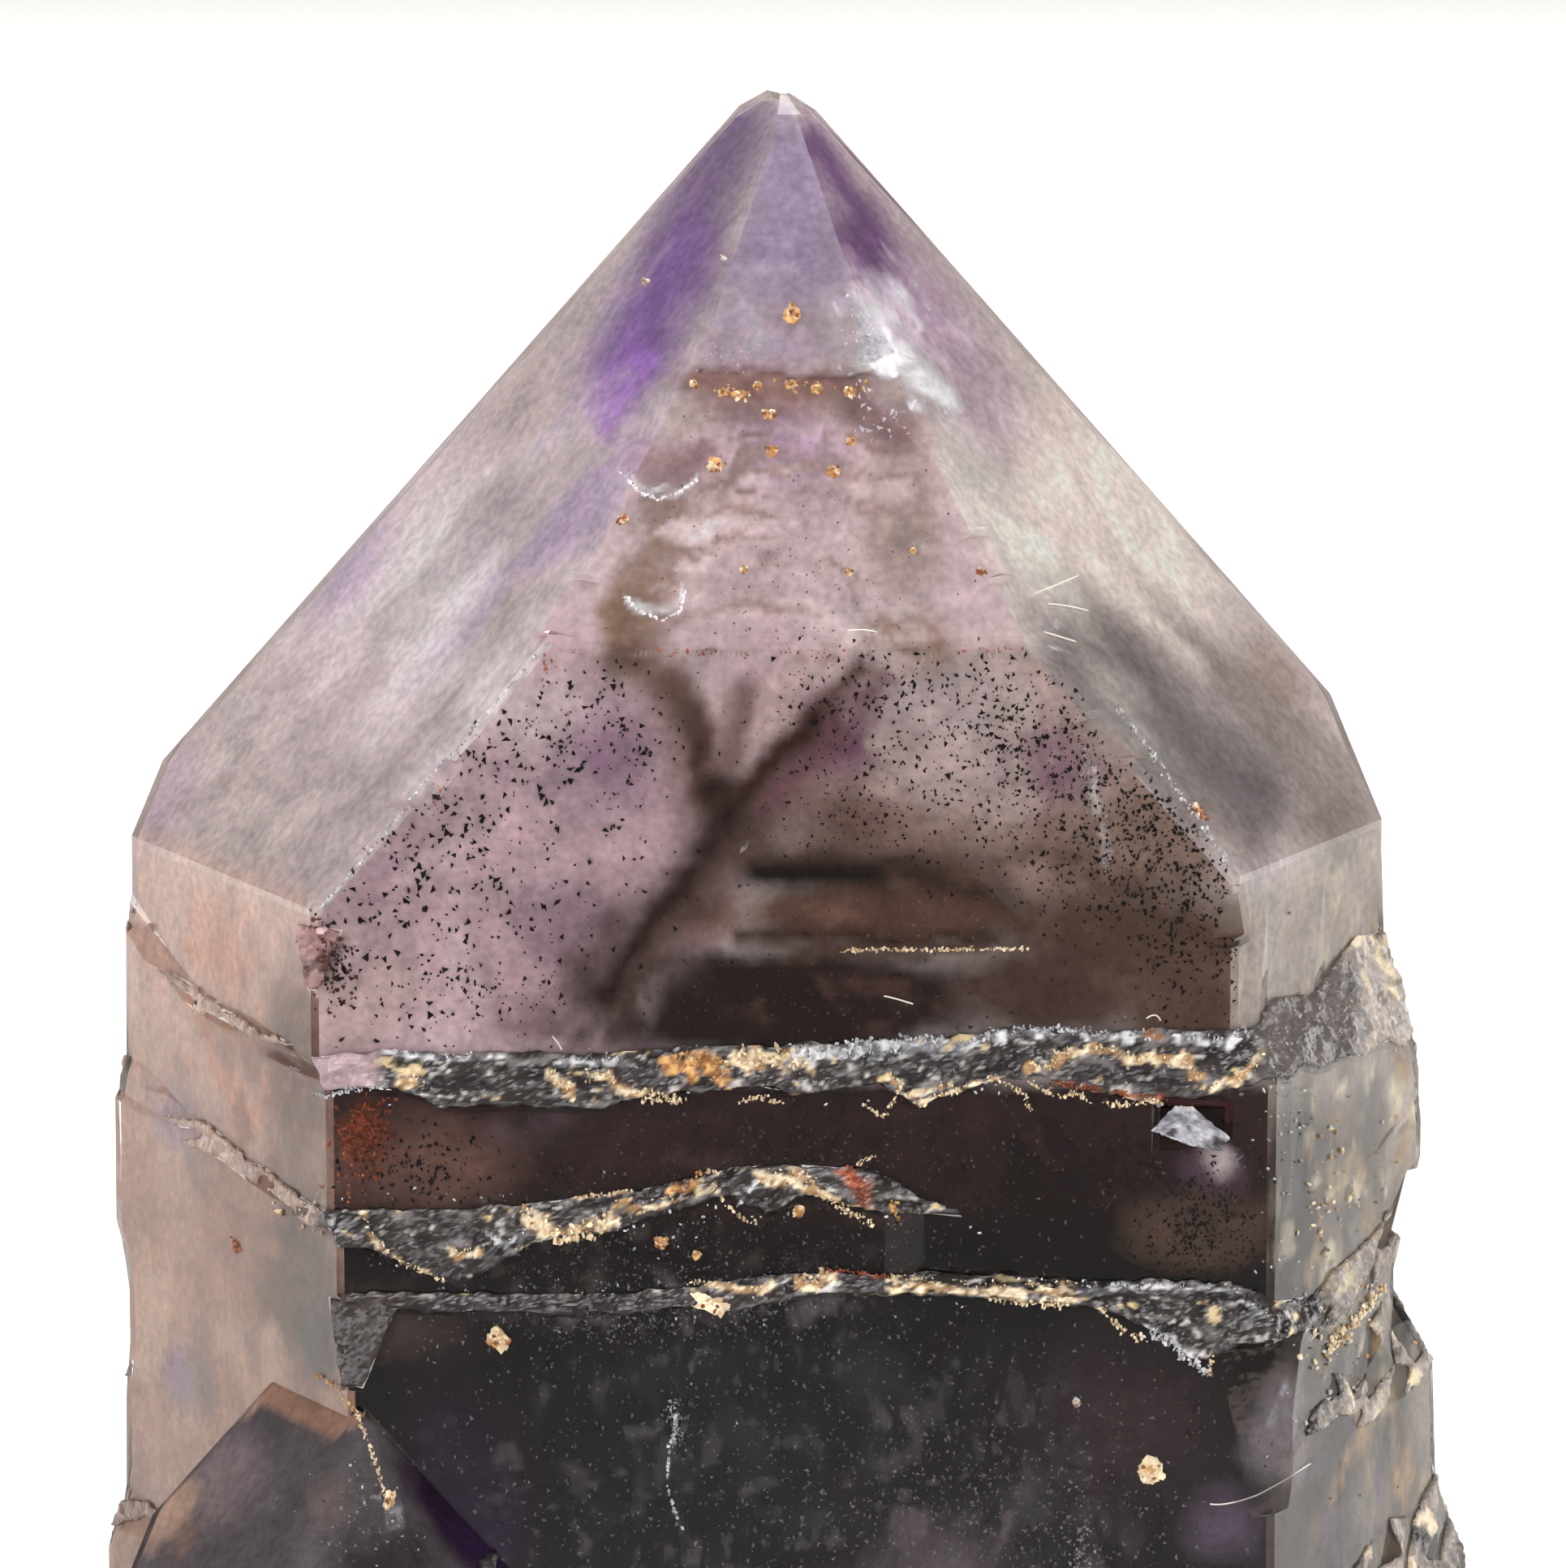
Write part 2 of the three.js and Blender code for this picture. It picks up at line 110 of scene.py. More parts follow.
# The outer haze: how it is shrunk from the crystal's solid and lifted off the foot, and its colours and
# densities
HAZE_SHRINK = (0.983, 0.983, 0.991)
HAZE_LIFT = 0.15
HAZE_COLOUR = (186, 172, 170)
HAZE_DENSITY = 0.84
FACE_DENSITY = 0.88
SIDE_CRYSTAL_COLOUR = (90, 84, 87)
SIDE_CRYSTAL_DENSITY = 0.95

# The smoky heart: the block it is cut from, how far it lies inside the upright faces, its foot, its tip,
# its longest edge and its colour
BLOCK_SIDE = 80
HEART_INSET = 2.6
HEART_FOOT = 0.5
HEART_TIP = 44.0
HEART_EDGE = 0.9
HEART_COLOUR = (40, 32, 35)

# Specks and grains under the front faces: their depths, how many more specks are tried because some fall
# beside the face, how much longer than stated they are, how far sideways their face may look, and their
# colour
SPECK_DEPTH = 0.07
GRAIN_DEPTHS = (0.05, 0.12)
SPECK_SURPLUS = 1.35
SPECK_STRETCH = 1.5
SPECK_LEAN = 0.3
SPECK_COLOUR = (26, 18, 18)

# The rind: its thickness, the size of its relief and its colour
RIND_THICKNESS = 0.16
RELIEF_SCALE = 0.4
RIND_COLOUR = (44, 37, 36)

# Flecks: how many crumbs make one, and how many of them are large
FLECK_CRUMBS = 22
FLECK_LARGE_CRUMBS = 7

# White veils: the cells along each side, how they lean off the face in radians, their relief and their
# colour
VEIL_CELLS = 28
VEIL_LEAN = (0.12, 0.1)
VEIL_RELIEF = 0.02
VEIL_COLOUR = (232, 228, 234)

# Dust fibres: their radius, how far they lie off the crystal and their colour
FIBRE_RADIUS = 0.018
FIBRE_LIFT = 0.06
FIBRE_COLOUR = (214, 206, 196)

# Clouds of colour in the outer haze, by the side of the crystal that they are seen on. Each has a name, a
# centre and radii in millimetres, a colour as display values, a density from 0 for clear to 1 for solid,
# and the share of its radius over which it is full.
OUTER_CLOUDS = {
    "left": [
        ("face_shadow", (-11.6, -5, 35.4), (1.6, 3, 1.6), (150, 122, 110), 0.88, 0.0),
        ("face_rust", (-12.4, -5, 37.4), (1.5, 3, 2.0), (176, 124, 100), 0.88, 0.0),
        ("face_rust_low", (-11.9, -5.5, 31.6), (1.0, 3, 3.0), (150, 114, 98), 0.88, 0.0),
        ("face_violet", (-13.4, -3, 33.4), (1.2, 4, 1.3), (150, 132, 148), 0.88, 0.0),
        ("face_violet_low", (-13.2, -3, 27.4), (1.1, 4, 1.2), (138, 116, 138), 0.88, 0.0),
        ("face_front", (-10.4, -7.6, 35.6), (1.9, 3.6, 3.4), (116, 88, 78), 0.92, 0.3),
        ("face_front_low", (-10.4, -7.8, 31.2), (1.9, 3.6, 3.4), (104, 82, 73), 0.92, 0.3),
        ("face_foot", (-11.0, -7, 29.6), (1.4, 3, 1.4), (104, 80, 68), 0.88, 0.1),
        ("dark_corner", (-10.1, -8.6, 29.8), (0.7, 1.6, 1.1), (84, 68, 62), 0.94, 0.4),
        ("shoulder_violet", (-14.0, -1, 40.6), (1.6, 4, 2.2), (176, 156, 172), 0.86, 0.0),
        # The pale cloud on the left slope is milky haze painted lighter, partly a painted sheen. The glow
        # beside it is a painted sheen.
        ("slope_pale_and_sheen", (-8.5, -2, 45.5), (5.0, 6, 6.0), (208, 191, 192), 0.84, 0.2),
        ("slope_sheen", (-7.2, -3, 45.6), (2.4, 4, 3.0), (234, 219, 217), 0.84, 0.0),
        ("slope_edge_violet", (-10.0, 0, 45.6), (2.2, 5, 2.6), (178, 160, 184), 0.86, 0.0),
        ("tip_grey", (-1.2, 0, 55), (2.6, 4, 2.6), (150, 134, 148), 0.84, 0.1),
        ("lilac_fall", (-3.4, -2.6, 50.9), (2.0, 3, 2.6), (168, 147, 173), 0.86, 0.2),
    ],
    "right": [
        ("face_mid", (13.0, -5, 30.6), (2.4, 4, 2.4), (134, 121, 112), 0.88, 0.2),
        ("dark_band", (11.1, -8.0, 32.6), (1.5, 2.8, 4.2), (50, 42, 39), 0.93, 0.3),
        ("edge_light", (14.0, -3, 34.0), (1.3, 3, 3.4), (180, 168, 157), 0.88, 0.2),
        ("edge_light_low", (14.6, -3, 27.4), (1.2, 3, 3.4), (152, 139, 126), 0.88, 0.2),
        ("corner_light", (11.3, -8.4, 27.5), (0.9, 1.8, 1.2), (142, 136, 133), 0.9, 0.2),
        ("cream_one", (12.7, -4, 37.3), (0.5, 1.6, 0.5), (212, 194, 166), 0.9, 0.1),
        ("cream_two", (13.5, -3.2, 36.7), (0.35, 1.6, 0.7), (216, 196, 162), 0.9, 0.1),
        ("cream_three", (11.8, -6.2, 36.3), (0.7, 1.6, 0.6), (200, 184, 158), 0.9, 0.0),
        ("cream_four", (12.2, -6.2, 32.7), (0.35, 1.6, 0.8), (188, 168, 136), 0.9, 0.1),
        ("cream_five", (12.1, -7.2, 29.5), (0.8, 1.6, 0.5), (206, 190, 164), 0.9, 0.1),
        ("ochre_one", (13.4, -4.8, 27.6), (0.4, 1.6, 0.8), (196, 172, 132), 0.9, 0.1),
        ("ochre_two", (14.6, -3.4, 24.8), (0.6, 1.6, 0.7), (184, 156, 118), 0.9, 0.1),
        ("low_ochre", (13.4, -5, 25.2), (1.6, 3, 2.4), (132, 116, 100), 0.88, 0.2),
        ("face_corner", (11.4, -8.2, 30.6), (1.1, 2.2, 2.2), (66, 59, 56), 0.9, 0.4),
        # The pale cloud on the right slope is milky haze painted lighter, partly a painted sheen
        ("slope_pale_and_sheen", (7.6, -2, 46.9), (4.6, 6, 5.0), (218, 205, 196), 0.84, 0.3),
        # The grey and dark clouds on the right slope, beside the front face's edge, are painted shade
        ("slope_grey", (6.9, -5.6, 43.3), (2.7, 4, 3.3), (120, 110, 108), 0.88, 0.3),
        ("slope_shade", (9.2, -5.2, 41.6), (2.3, 3, 2.2), (118, 109, 108), 0.88, 0.0),
        ("slope_tan", (11.2, -3, 43.2), (1.8, 4, 2.0), (156, 134, 114), 0.88, 0.0),
        ("shoulder", (12.4, -4, 40.2), (2.0, 4, 1.8), (132, 118, 110), 0.88, 0.1),
        ("glow_low", (4.2, -3, 50.2), (2.2, 3, 3.2), (178, 158, 168), 0.86, 0.1),
        ("glow", (2.9, -2.4, 51.9), (2.2, 3, 2.6), (166, 140, 160), 0.86, 0.2),
        ("tip_light", (1.2, -0.6, 55.1), (1.2, 2, 1.2), (158, 141, 152), 0.86, 0.2),
        ("violet", (2.0, -2.6, 53.0), (1.0, 1.8, 1.7), (130, 96, 134), 0.88, 0.3),
    ],
    "front": [
        ("tip_cap", (0, 0, 56), (1.4, 2, 1.7), (162, 150, 162), 0.75, 0.2),
        ("tip", (0, -1, 53.8), (3.8, 4, 2.8), (156, 140, 163), 0.84, 0.3),
        ("lilac", (0.1, -3, 52.4), (2.2, 2.4, 2.3), (148, 132, 154), 0.86, 0.3),
        ("under_lilac", (-0.4, -4.4, 51.0), (2.6, 2.4, 1.0), (172, 154, 166), 0.86, 0.2),
        ("pale_pink", (0.4, -7, 46.9), (6.5, 4, 3.8), (193, 172, 174), 0.88, 0.7),
        ("band_shade", (-0.2, -5, 49.9), (2.6, 2, 0.9), (160, 132, 134), 0.88, 0.2),
        ("centre_violet", (0.2, -5.6, 48.9), (1.9, 2, 1.1), (186, 156, 184), 0.88, 0.0),
        ("grey_left", (-2.3, -6.9, 47.1), (0.9, 2, 2.0), (150, 124, 116), 0.88, 0.1),
        ("grey_right", (2.8, -6.6, 47.5), (1.2, 2, 2.4), (156, 136, 130), 0.88, 0.1),
        ("smudge_left", (-3.0, -7.4, 45.7), (1.0, 2, 1.4), (146, 119, 104), 0.88, 0.1),
        ("smudge_right", (2.8, -7.8, 45.2), (1.2, 2, 0.8), (150, 122, 108), 0.88, 0.1),
        ("left_mauve", (-6.9, -8, 40.0), (6.6, 2.6, 7.4), (188, 161, 166), 0.9, 0.8),
        ("left_pale", (-5.4, -8, 43.7), (2.0, 2.6, 1.3), (202, 182, 184), 0.9, 0.3),
        ("left_mauve_low", (-9.2, -8, 37.2), (2.8, 2.6, 2.6), (196, 171, 172), 0.9, 0.3),
        ("left_mauve_brown", (-4.6, -8, 36.7), (2.2, 2.6, 1.0), (126, 102, 102), 0.9, 0.1),
        ("pink_middle", (-0.1, -8, 43.8), (1.9, 2.6, 2.2), (192, 167, 170), 0.9, 0.5),
        ("right_mauve", (4.8, -8, 42.2), (6.2, 2.6, 3.8), (174, 150, 144), 0.9, 0.6),
        ("right_pale", (3.8, -8, 43.8), (2.8, 2.6, 1.4), (186, 168, 167), 0.9, 0.3),
        ("right_milk", (4.6, -8, 42.0), (3.4, 2.6, 1.8), (184, 164, 162), 0.9, 0.2),
        ("right_low_tan", (5.0, -8, 40.6), (4.6, 2.6, 1.7), (148, 123, 113), 0.9, 0.3),
        ("right_tan", (8.2, -8, 40.8), (2.8, 2.6, 2.6), (142, 117, 104), 0.9, 0.2),
        ("right_brown", (8.2, -8, 38.5), (4.0, 2.6, 2.1), (92, 69, 56), 0.94, 0.4),
        ("violet_left_arm", (-3.6, -8, 42.6), (1.7, 2.6, 1.7), (148, 114, 136), 0.9, 0.1),
        ("violet_right_arm", (1.4, -8, 43.2), (1.3, 2.6, 1.5), (122, 84, 106), 0.9, 0.3),
        ("violet_far_right", (5.9, -8, 42.4), (1.6, 2.6, 1.4), (138, 106, 118), 0.9, 0.1),
        ("shade_left_of_cross", (-4.2, -8, 38.7), (1.5, 2.6, 1.4), (98, 75, 77), 0.9, 0.4),
        ("brown_under_cross", (-1.7, -8, 39.4), (1.4, 2.6, 1.2), (118, 90, 80), 0.92, 0.3),
        ("brown_right_of_cross", (1.6, -8, 41.3), (2.4, 2.6, 1.2), (112, 86, 79), 0.9, 0.1),
        ("wedge", (0.0, -8, 37.2), (5.8, 2.6, 1.6), (36, 22, 20), 0.97, 0.6),
        ("wedge_right", (6.0, -8, 37.5), (3.2, 2.6, 1.5), (78, 56, 50), 0.95, 0.4),
        ("wedge_far", (8.9, -8, 37.1), (2.2, 2.6, 1.3), (96, 72, 61), 0.93, 0.4),
        ("lens_inside", (2.4, -8, 39.2), (4.2, 2.6, 1.1), (96, 68, 57), 0.92, 0.5),
    ],
}

# The upright faces' own colours, from the shoulder down: a name, the side, the height where the colour
# ends, how softly, and the colour
FACE_COLOURS = [
    ("left", "left", 39.0, 0.6, (195, 165, 151)), ("left_low", "left", 31.0, 5.0, (162, 128, 110)),
    ("right", "right", 39.2, 0.6, (168, 154, 144)), ("right_middle", "right", 33.6, 2.0, (114, 99, 88)),
    ("right_low", "right", 28.4, 3.0, (86, 76, 69)),
]

# Soft streaks on the slopes beside the front, written as the strokes are, with the side they are on
SLOPE_STROKES = [
    ("left_violet", "left", (-0.8, 55.3), (-2.0, 52.6), 0.45, 0.7, (122, 101, 130), 0.88),
    ("left_violet_low", "left", (-2.0, 52.6), (-3.3, 50.2), 0.7, 0.6, (126, 98, 146), 0.88),
    ("left_vivid", "left", (-2.9, 50.5), (-3.7, 49.2), 0.35, 0.3, (160, 116, 186), 0.88),
    ("right_violet", "right", (0.7, 55.0), (2.1, 52.6), 0.3, 0.5, (110, 82, 116), 0.88),
    ("right_shadow", "right", (6.4, 44.6), (10.4, 41.0), 0.6, 0.8, (120, 110, 110), 0.88),
]

# Flat zones in the outer haze, which end at the growth ledges. Each has a name, a centre, half sizes and
# the softness of its sides, all in millimetres, a colour and a density.
OUTER_BLOCKS = [
    ("under_first_ledge", (0.1, -10, 17.7), (10.6, 2.6, 17.7), (0.3, 0.5, 0.3), (48, 30, 30), 0.94),
    ("under_second_ledge", (0.1, -10, 16.1), (10.6, 2.6, 16.1), (0.3, 0.5, 0.9), (24, 15, 15), 0.95),
    ("under_third_ledge", (0.1, -10, 15.5), (10.6, 2.6, 15.5), (0.3, 0.5, 0.5), (27, 20, 21), 0.92),
]

# Clouds of colour below the first growth ledge, written as the others are
LOWER_CLOUDS = [
    ("window_left", (-7.9, -9.4, 33.8), (3.6, 1.6, 1.8), (116, 84, 75), 0.92, 0.4),
    ("window_rust", (-9.0, -8.8, 34.4), (0.8, 1.6, 1.0), (132, 76, 58), 0.92, 0.1),
    ("window_middle", (-3.4, -9.4, 34.2), (3.4, 1.6, 1.2), (58, 37, 35), 0.94, 0.2),
    ("window_right", (5.6, -9.4, 33.4), (3.0, 1.6, 1.8), (30, 17, 17), 0.96, 0.3),
    ("window_violet", (9.4, -8.8, 33.6), (1.1, 2, 0.8), (94, 70, 84), 0.92, 0.2),
    ("pale_oval", (9.55, -8.8, 33.85), (0.6, 1.6, 0.5), (214, 194, 196), 0.93, 0.1),
    ("speckled_corner", (9.2, -8.8, 32.3), (2.2, 1.6, 1.2), (92, 70, 60), 0.94, 0.4),
    ("brown_left", (-8.6, -9.8, 30.4), (2.6, 1.6, 1.2), (76, 60, 58), 0.9, 0.2),
    ("violet_left", (-7.0, -9.8, 26.0), (2.1, 1.6, 4.0), (44, 29, 48), 0.94, 0.4),
    ("violet_bright", (-6.4, -9.8, 25.6), (1.2, 1.6, 2.2), (48, 31, 58), 0.94, 0.1),
    ("grey_middle", (-1.0, -9.8, 28.2), (5.0, 1.6, 2.6), (30, 28, 29), 0.92, 0.2),
    ("dark_right", (7.4, -9.8, 28.2), (3.6, 1.6, 3.0), (62, 44, 46), 0.92, 0.1),
    ("pink_low", (3.4, -9.8, 24.8), (2.4, 1.6, 1.8), (104, 90, 94), 0.88, 0.1),
    ("violet_low_right", (9.7, -9.8, 25.9), (1.3, 1.6, 1.3), (104, 88, 106), 0.88, 0.0),
    ("corner_lilac", (10.8, -8.8, 27.8), (1.1, 1.6, 1.9), (130, 120, 124), 0.9, 0.2),
    ("side_shoulder", (-9.9, -8.4, 29.5), (0.9, 1.6, 1.2), (92, 78, 73), 0.94, 0.3),
    ("side_light", (-12.0, -7.8, 26.4), (1.7, 2.6, 1.5), (132, 116, 118), 0.92, 0.1),
    ("side_warm", (-9.8, -11.2, 26.8), (0.9, 1.6, 1.0), (112, 98, 96), 0.92, 0.1),
    ("side_wisp", (-8.7, -11.8, 26.2), (0.7, 1.6, 1.0), (118, 109, 113), 0.85, 0.0),
    ("side_dark", (-8.4, -12.2, 24.0), (1.6, 3, 4.4), (56, 50, 54), 0.94, 0.4),
]

# Strokes in the outer haze, seen from the front: a name, the two ends as sideways and upwards places, the
# half widths at the two ends, a colour and a density. The sides of a stroke fade over its own width.
OUTER_STROKES = [
    ("band", (-1.9, 50.25), (1.7, 50.25), 0.26, 0.3, (146, 114, 108), 0.88),
    ("band_dark", (-1.7, 50.45), (1.6, 50.45), 0.05, 0.05, (108, 78, 76), 0.9),
    ("dark_left", (-2.8, 48.8), (-1.7, 48.75), 0.3, 0.3, (146, 116, 124), 0.88),
    ("dark_right", (1.5, 49.8), (2.7, 49.3), 0.3, 0.4, (132, 106, 106), 0.88),
    ("hook_top", (-2.4, 47.9), (-2.6, 46.7), 0.35, 0.4, (152, 128, 118), 0.86),
    ("hook", (-2.6, 46.7), (-3.3, 45.7), 0.42, 0.45, (144, 117, 102), 0.88),
    ("hook_low", (-3.3, 45.7), (-3.3, 44.9), 0.42, 0.45, (130, 102, 84), 0.88),
    ("hook_foot", (-3.3, 44.85), (-2.36, 44.2), 0.4, 0.42, (104, 78, 66), 0.92),
    ("left_arm_shade", (-2.3, 44.2), (-1.5, 41.8), 0.5, 0.6, (130, 101, 98), 0.9),
    ("left_arm_top", (-2.36, 44.2), (-1.8, 43.4), 0.34, 0.32, (92, 66, 56), 0.92),
    ("left_arm", (-1.8, 43.5), (-1.4, 41.8), 0.3, 0.36, (72, 48, 41), 0.94),
    ("inner_arm", (-0.7, 44.1), (-1.2, 42.2), 0.3, 0.35, (134, 108, 106), 0.86),
    ("right_cap", (2.1, 45.2), (3.2, 44.9), 0.34, 0.4, (136, 106, 88), 0.88),
    ("right_arm_shade", (2.3, 44.4), (-0.3, 41.6), 0.3, 0.55, (114, 80, 84), 0.88),
    ("right_arm_top", (2.0, 44.9), (0.6, 43.35), 0.2, 0.24, (86, 58, 54), 0.92),
    ("right_arm", (0.7, 43.45), (-0.85, 41.75), 0.22, 0.28, (54, 30, 24), 0.95),
    ("cross", (-1.3, 41.9), (-0.95, 41.2), 0.4, 0.45, (40, 22, 16), 0.97),
    ("diagonal_shade", (-0.9, 41.0), (-3.8, 37.2), 0.6, 0.7, (86, 65, 60), 0.9),
    ("diagonal", (-1.0, 41.4), (-3.9, 37.2), 0.28, 0.2, (46, 29, 25), 0.94),
    ("lens_brow", (-0.6, 40.5), (4.6, 40.1), 0.5, 0.45, (92, 69, 62), 0.9),
    ("lens_top", (-0.4, 40.15), (2.7, 40.1), 0.36, 0.32, (22, 12, 9), 0.98),
    ("lens_top_right", (2.6, 40.1), (4.9, 39.5), 0.28, 0.2, (56, 37, 30), 0.94),
    ("lens_end", (4.9, 39.5), (5.3, 39.0), 0.4, 0.5, (76, 55, 45), 0.92),
    ("lens_low", (-0.8, 38.75), (4.6, 38.65), 0.2, 0.16, (62, 42, 34), 0.9),
    ("lens_light", (0.2, 38.3), (4.4, 38.35), 0.1, 0.1, (92, 66, 57), 0.8),
    ("wisp", (6.75, 42.7), (6.85, 41.5), 0.03, 0.07, (228, 216, 214), 0.9),
    ("wisp_low", (7.05, 41.1), (7.15, 40.1), 0.06, 0.04, (216, 202, 198), 0.88),
    ("left_arris", (-5.0, 45.1), (-10.0, 39.2), 0.05, 0.07, (200, 182, 184), 0.9),
    ("right_arris", (6.0, 45.3), (9.85, 40.2), 0.05, 0.06, (170, 154, 148), 0.9),
    ("crescent_shade", (-3.1, 48.5), (-2.0, 48.5), 0.2, 0.2, (150, 124, 128), 0.86),
    ("crescent_upper_left", (-3.36, 48.46), (-2.85, 48.1), 0.03, 0.06, (236, 230, 236), 0.94),
    ("crescent_upper", (-2.85, 48.1), (-2.2, 48.08), 0.07, 0.07, (246, 242, 246), 0.94),
    ("crescent_upper_right", (-2.2, 48.08), (-1.75, 48.4), 0.06, 0.03, (226, 218, 224), 0.94),
    ("crescent_lower_left", (-3.3, 46.05), (-2.9, 45.74), 0.03, 0.06, (226, 220, 226), 0.94),
    ("crescent_lower", (-2.9, 45.74), (-2.2, 45.7), 0.07, 0.06, (246, 242, 246), 0.94),
    ("crescent_lower_right", (-2.2, 45.7), (-2.0, 46.2), 0.05, 0.03, (222, 214, 220), 0.94),
    ("fracture", (1.9, 52.2), (2.2, 50.8), 0.2, 0.42, (248, 242, 250), 0.94),
    ("fracture_low", (2.2, 50.9), (3.7, 49.6), 0.34, 0.16, (236, 224, 234), 0.92),
    ("fracture_glint", (2.9, 51.2), (2.2, 52.2), 0.1, 0.06, (226, 214, 230), 0.88),
    ("pyramid_foot", (-4.4, 44.85), (4.6, 44.9), 0.04, 0.04, (160, 136, 130), 0.88),
]

# Broken mists in the outer haze whose grain runs down the slopes: a name, the side it is on, a centre,
# radii, a colour, a density, how fine the mist is along each axis as turns a millimetre, and the noise
# levels between which it sets in, where 0 is the middle and 1 a usual swing
SLOPE_MISTS = [
    ("slope_milk", "left", (-8.5, -2, 44.5), (8, 9, 8), (226, 209, 209), 0.84, (0.5, 0.25, 0.1), -0.2, 2.2),
    ("slope_grey", "left", (-8, -2, 44), (8, 9, 8), (172, 157, 160), 0.86, (0.4, 0.25, 0.08), 0.5, 2.6),
    ("slope_violet", "left", (-7, -2, 46), (8, 9, 7), (176, 156, 182), 0.86, (0.3, 0.2, 0.1), 0.8, 2.8),
    ("tip_streaks", "left", (-2.5, -2, 52), (3, 4, 4), (160, 146, 160), 0.84, (0.8, 0.5, 0.3), 0.2, 2.0),
    ("slope_milk", "right", (8.5, -2, 46.4), (7, 9, 6.6), (230, 215, 205), 0.84, (0.5, 0.25, 0.1), -0.2,
     2.0),
    ("slope_grey", "right", (8, -2, 43.5), (8, 9, 7), (142, 130, 126), 0.86, (0.4, 0.25, 0.1), 0.4, 2.2),
    ("tip_glints", "right", (3.0, -2.5, 51.5), (2.4, 3, 2.6), (206, 186, 200), 0.84, (1.2, 1, 0.8), 0.3,
     2.0),
]

# Broken mists in the outer haze with an upright grain, written in the same way
OUTER_MISTS = [
    ("striations", "front", (0, -6, 48.0), (4.4, 4, 3.0), (156, 130, 124), 0.88, (0.25, 1, 3.4), 0.7, 1.9),
    ("fine_lines", "front", (0, -6, 46.6), (5.0, 4, 2.6), (164, 140, 134), 0.88, (0.4, 1, 3.4), 0.8, 1.9),
    ("pale_lines", "front", (0.4, -6, 46.6), (5.0, 4, 3.4), (214, 196, 196), 0.86, (0.5, 1, 1.6), 0.6, 2.0),
    ("upright_smoke", "front", (0.6, -6, 47.4), (4.4, 4, 3.2), (160, 140, 138), 0.86, (0.9, 1, 0.25), 0.6,
     2.0),
    ("tip_smoke", "front", (0, -3, 51.8), (2.4, 3, 2.4), (178, 162, 184), 0.8, (0.8, 1, 1.2), 0.2, 1.8),
    ("tent_clouds", "front", (-6.5, -8, 39.6), (6, 2, 6), (164, 138, 147), 0.9, (0.4, 0.5, 0.35), 0.2, 2.2),
    ("tent_pale", "front", (-7, -8, 39.6), (6, 2, 6), (204, 180, 184), 0.9, (0.5, 0.5, 0.4), 0.4, 2.2),
    ("tent_brown", "front", (5.5, -8, 38.8), (5.8, 2, 2.8), (98, 75, 64), 0.9, (0.5, 0.5, 0.7), 0.4, 2.0),
    ("tent_glow", "front", (4.6, -8, 42.6), (4.6, 2, 2.2), (190, 168, 163), 0.88, (0.6, 0.5, 0.8), 0.2,
     2.0),
    ("lens_smoke", "front", (2.2, -8, 39.2), (3.6, 2, 0.55), (124, 90, 78), 0.92, (0.5, 1, 1.3), -0.2, 1.8),
    ("wedge_glow", "front", (3.0, -8, 37.2), (6, 2, 1.0), (82, 56, 51), 0.93, (0.8, 1, 1.6), 0.4, 2.0),
    ("face_rust", "left", (-12.4, -4.8, 35.8), (2.6, 5, 3.6), (190, 142, 118), 0.9, (0.7, 0.7, 1.2), -0.3,
     1.5),
    ("face_rust_low", "left", (-12.6, -4, 31), (2.6, 6, 5), (160, 120, 100), 0.88, (0.6, 0.6, 0.9), 0.4,
     2.0),
    ("face_pale", "left", (-13, -4, 30), (4, 7, 10), (180, 150, 132), 0.88, (0.4, 0.4, 0.5), 0.4, 2.2),
    ("face_grey", "left", (-13, -4, 28), (4, 7, 10), (136, 112, 102), 0.88, (0.5, 0.5, 0.4), 0.8, 2.4),
    ("face_speckle", "left", (-11.2, -6.6, 35.0), (1.8, 3, 4.4), (150, 112, 98), 0.88, (1.7, 1.7, 1.7), 0.3,
     1.6),
    ("face_dark", "right", (12.4, -5, 29), (2.8, 6, 10), (92, 82, 76), 0.88, (1.0, 1.0, 0.8), 0.0, 1.6),
    ("face_lilac", "right", (12.2, -6, 25.5), (2.0, 4, 3.4), (112, 98, 112), 0.88, (0.9, 0.9, 0.5), 0.0,
     1.6),
    ("face_cream", "right", (13.2, -4, 33), (4.2, 7, 8), (224, 206, 176), 0.9, (1.2, 1.2, 0.9), 0.8, 1.9),
    ("face_ochre", "right", (13.2, -4, 30), (4.2, 7, 10), (170, 140, 104), 0.9, (1.0, 1.0, 0.7), 0.6, 2.0),
    ("low_milk", "front", (1.6, -9.8, 27.0), (8.0, 1.6, 4.4), (54, 49, 53), 0.88, (0.9, 0.9, 0.7), -0.2,
     2.0),
    ("low_wisps", "front", (3.8, -9.8, 25.0), (5, 1.6, 3.0), (104, 90, 96), 0.86, (1.4, 1, 0.8), 0.7, 2.2),
    ("low_grain", "front", (0, -9.8, 27), (9, 1.6, 5), (88, 83, 87), 0.86, (2.2, 2.2, 2.2), 1.0, 2.2),
    ("low_streaks", "front", (0, -9.8, 27), (9, 1.6, 5), (70, 65, 69), 0.86, (2.2, 2, 0.6), 1.0, 2.2),
    ("third_fuzz", "front", (-2.4, -9.8, 30.9), (5.0, 1.2, 0.8), (118, 110, 110), 0.86, (1.8, 2, 1.4), 0.0,
     1.4),
    ("window_smoke", "front", (0, -9.4, 34), (10, 1.4, 2.2), (72, 50, 48), 0.9, (0.6, 1, 1.2), 0.4, 2.0),
    ("flank_smoke", "front", (-3, -9.6, 31.6), (7, 1.4, 1.6), (70, 60, 59), 0.9, (1.4, 1, 1.8), 0.2, 1.8),
]

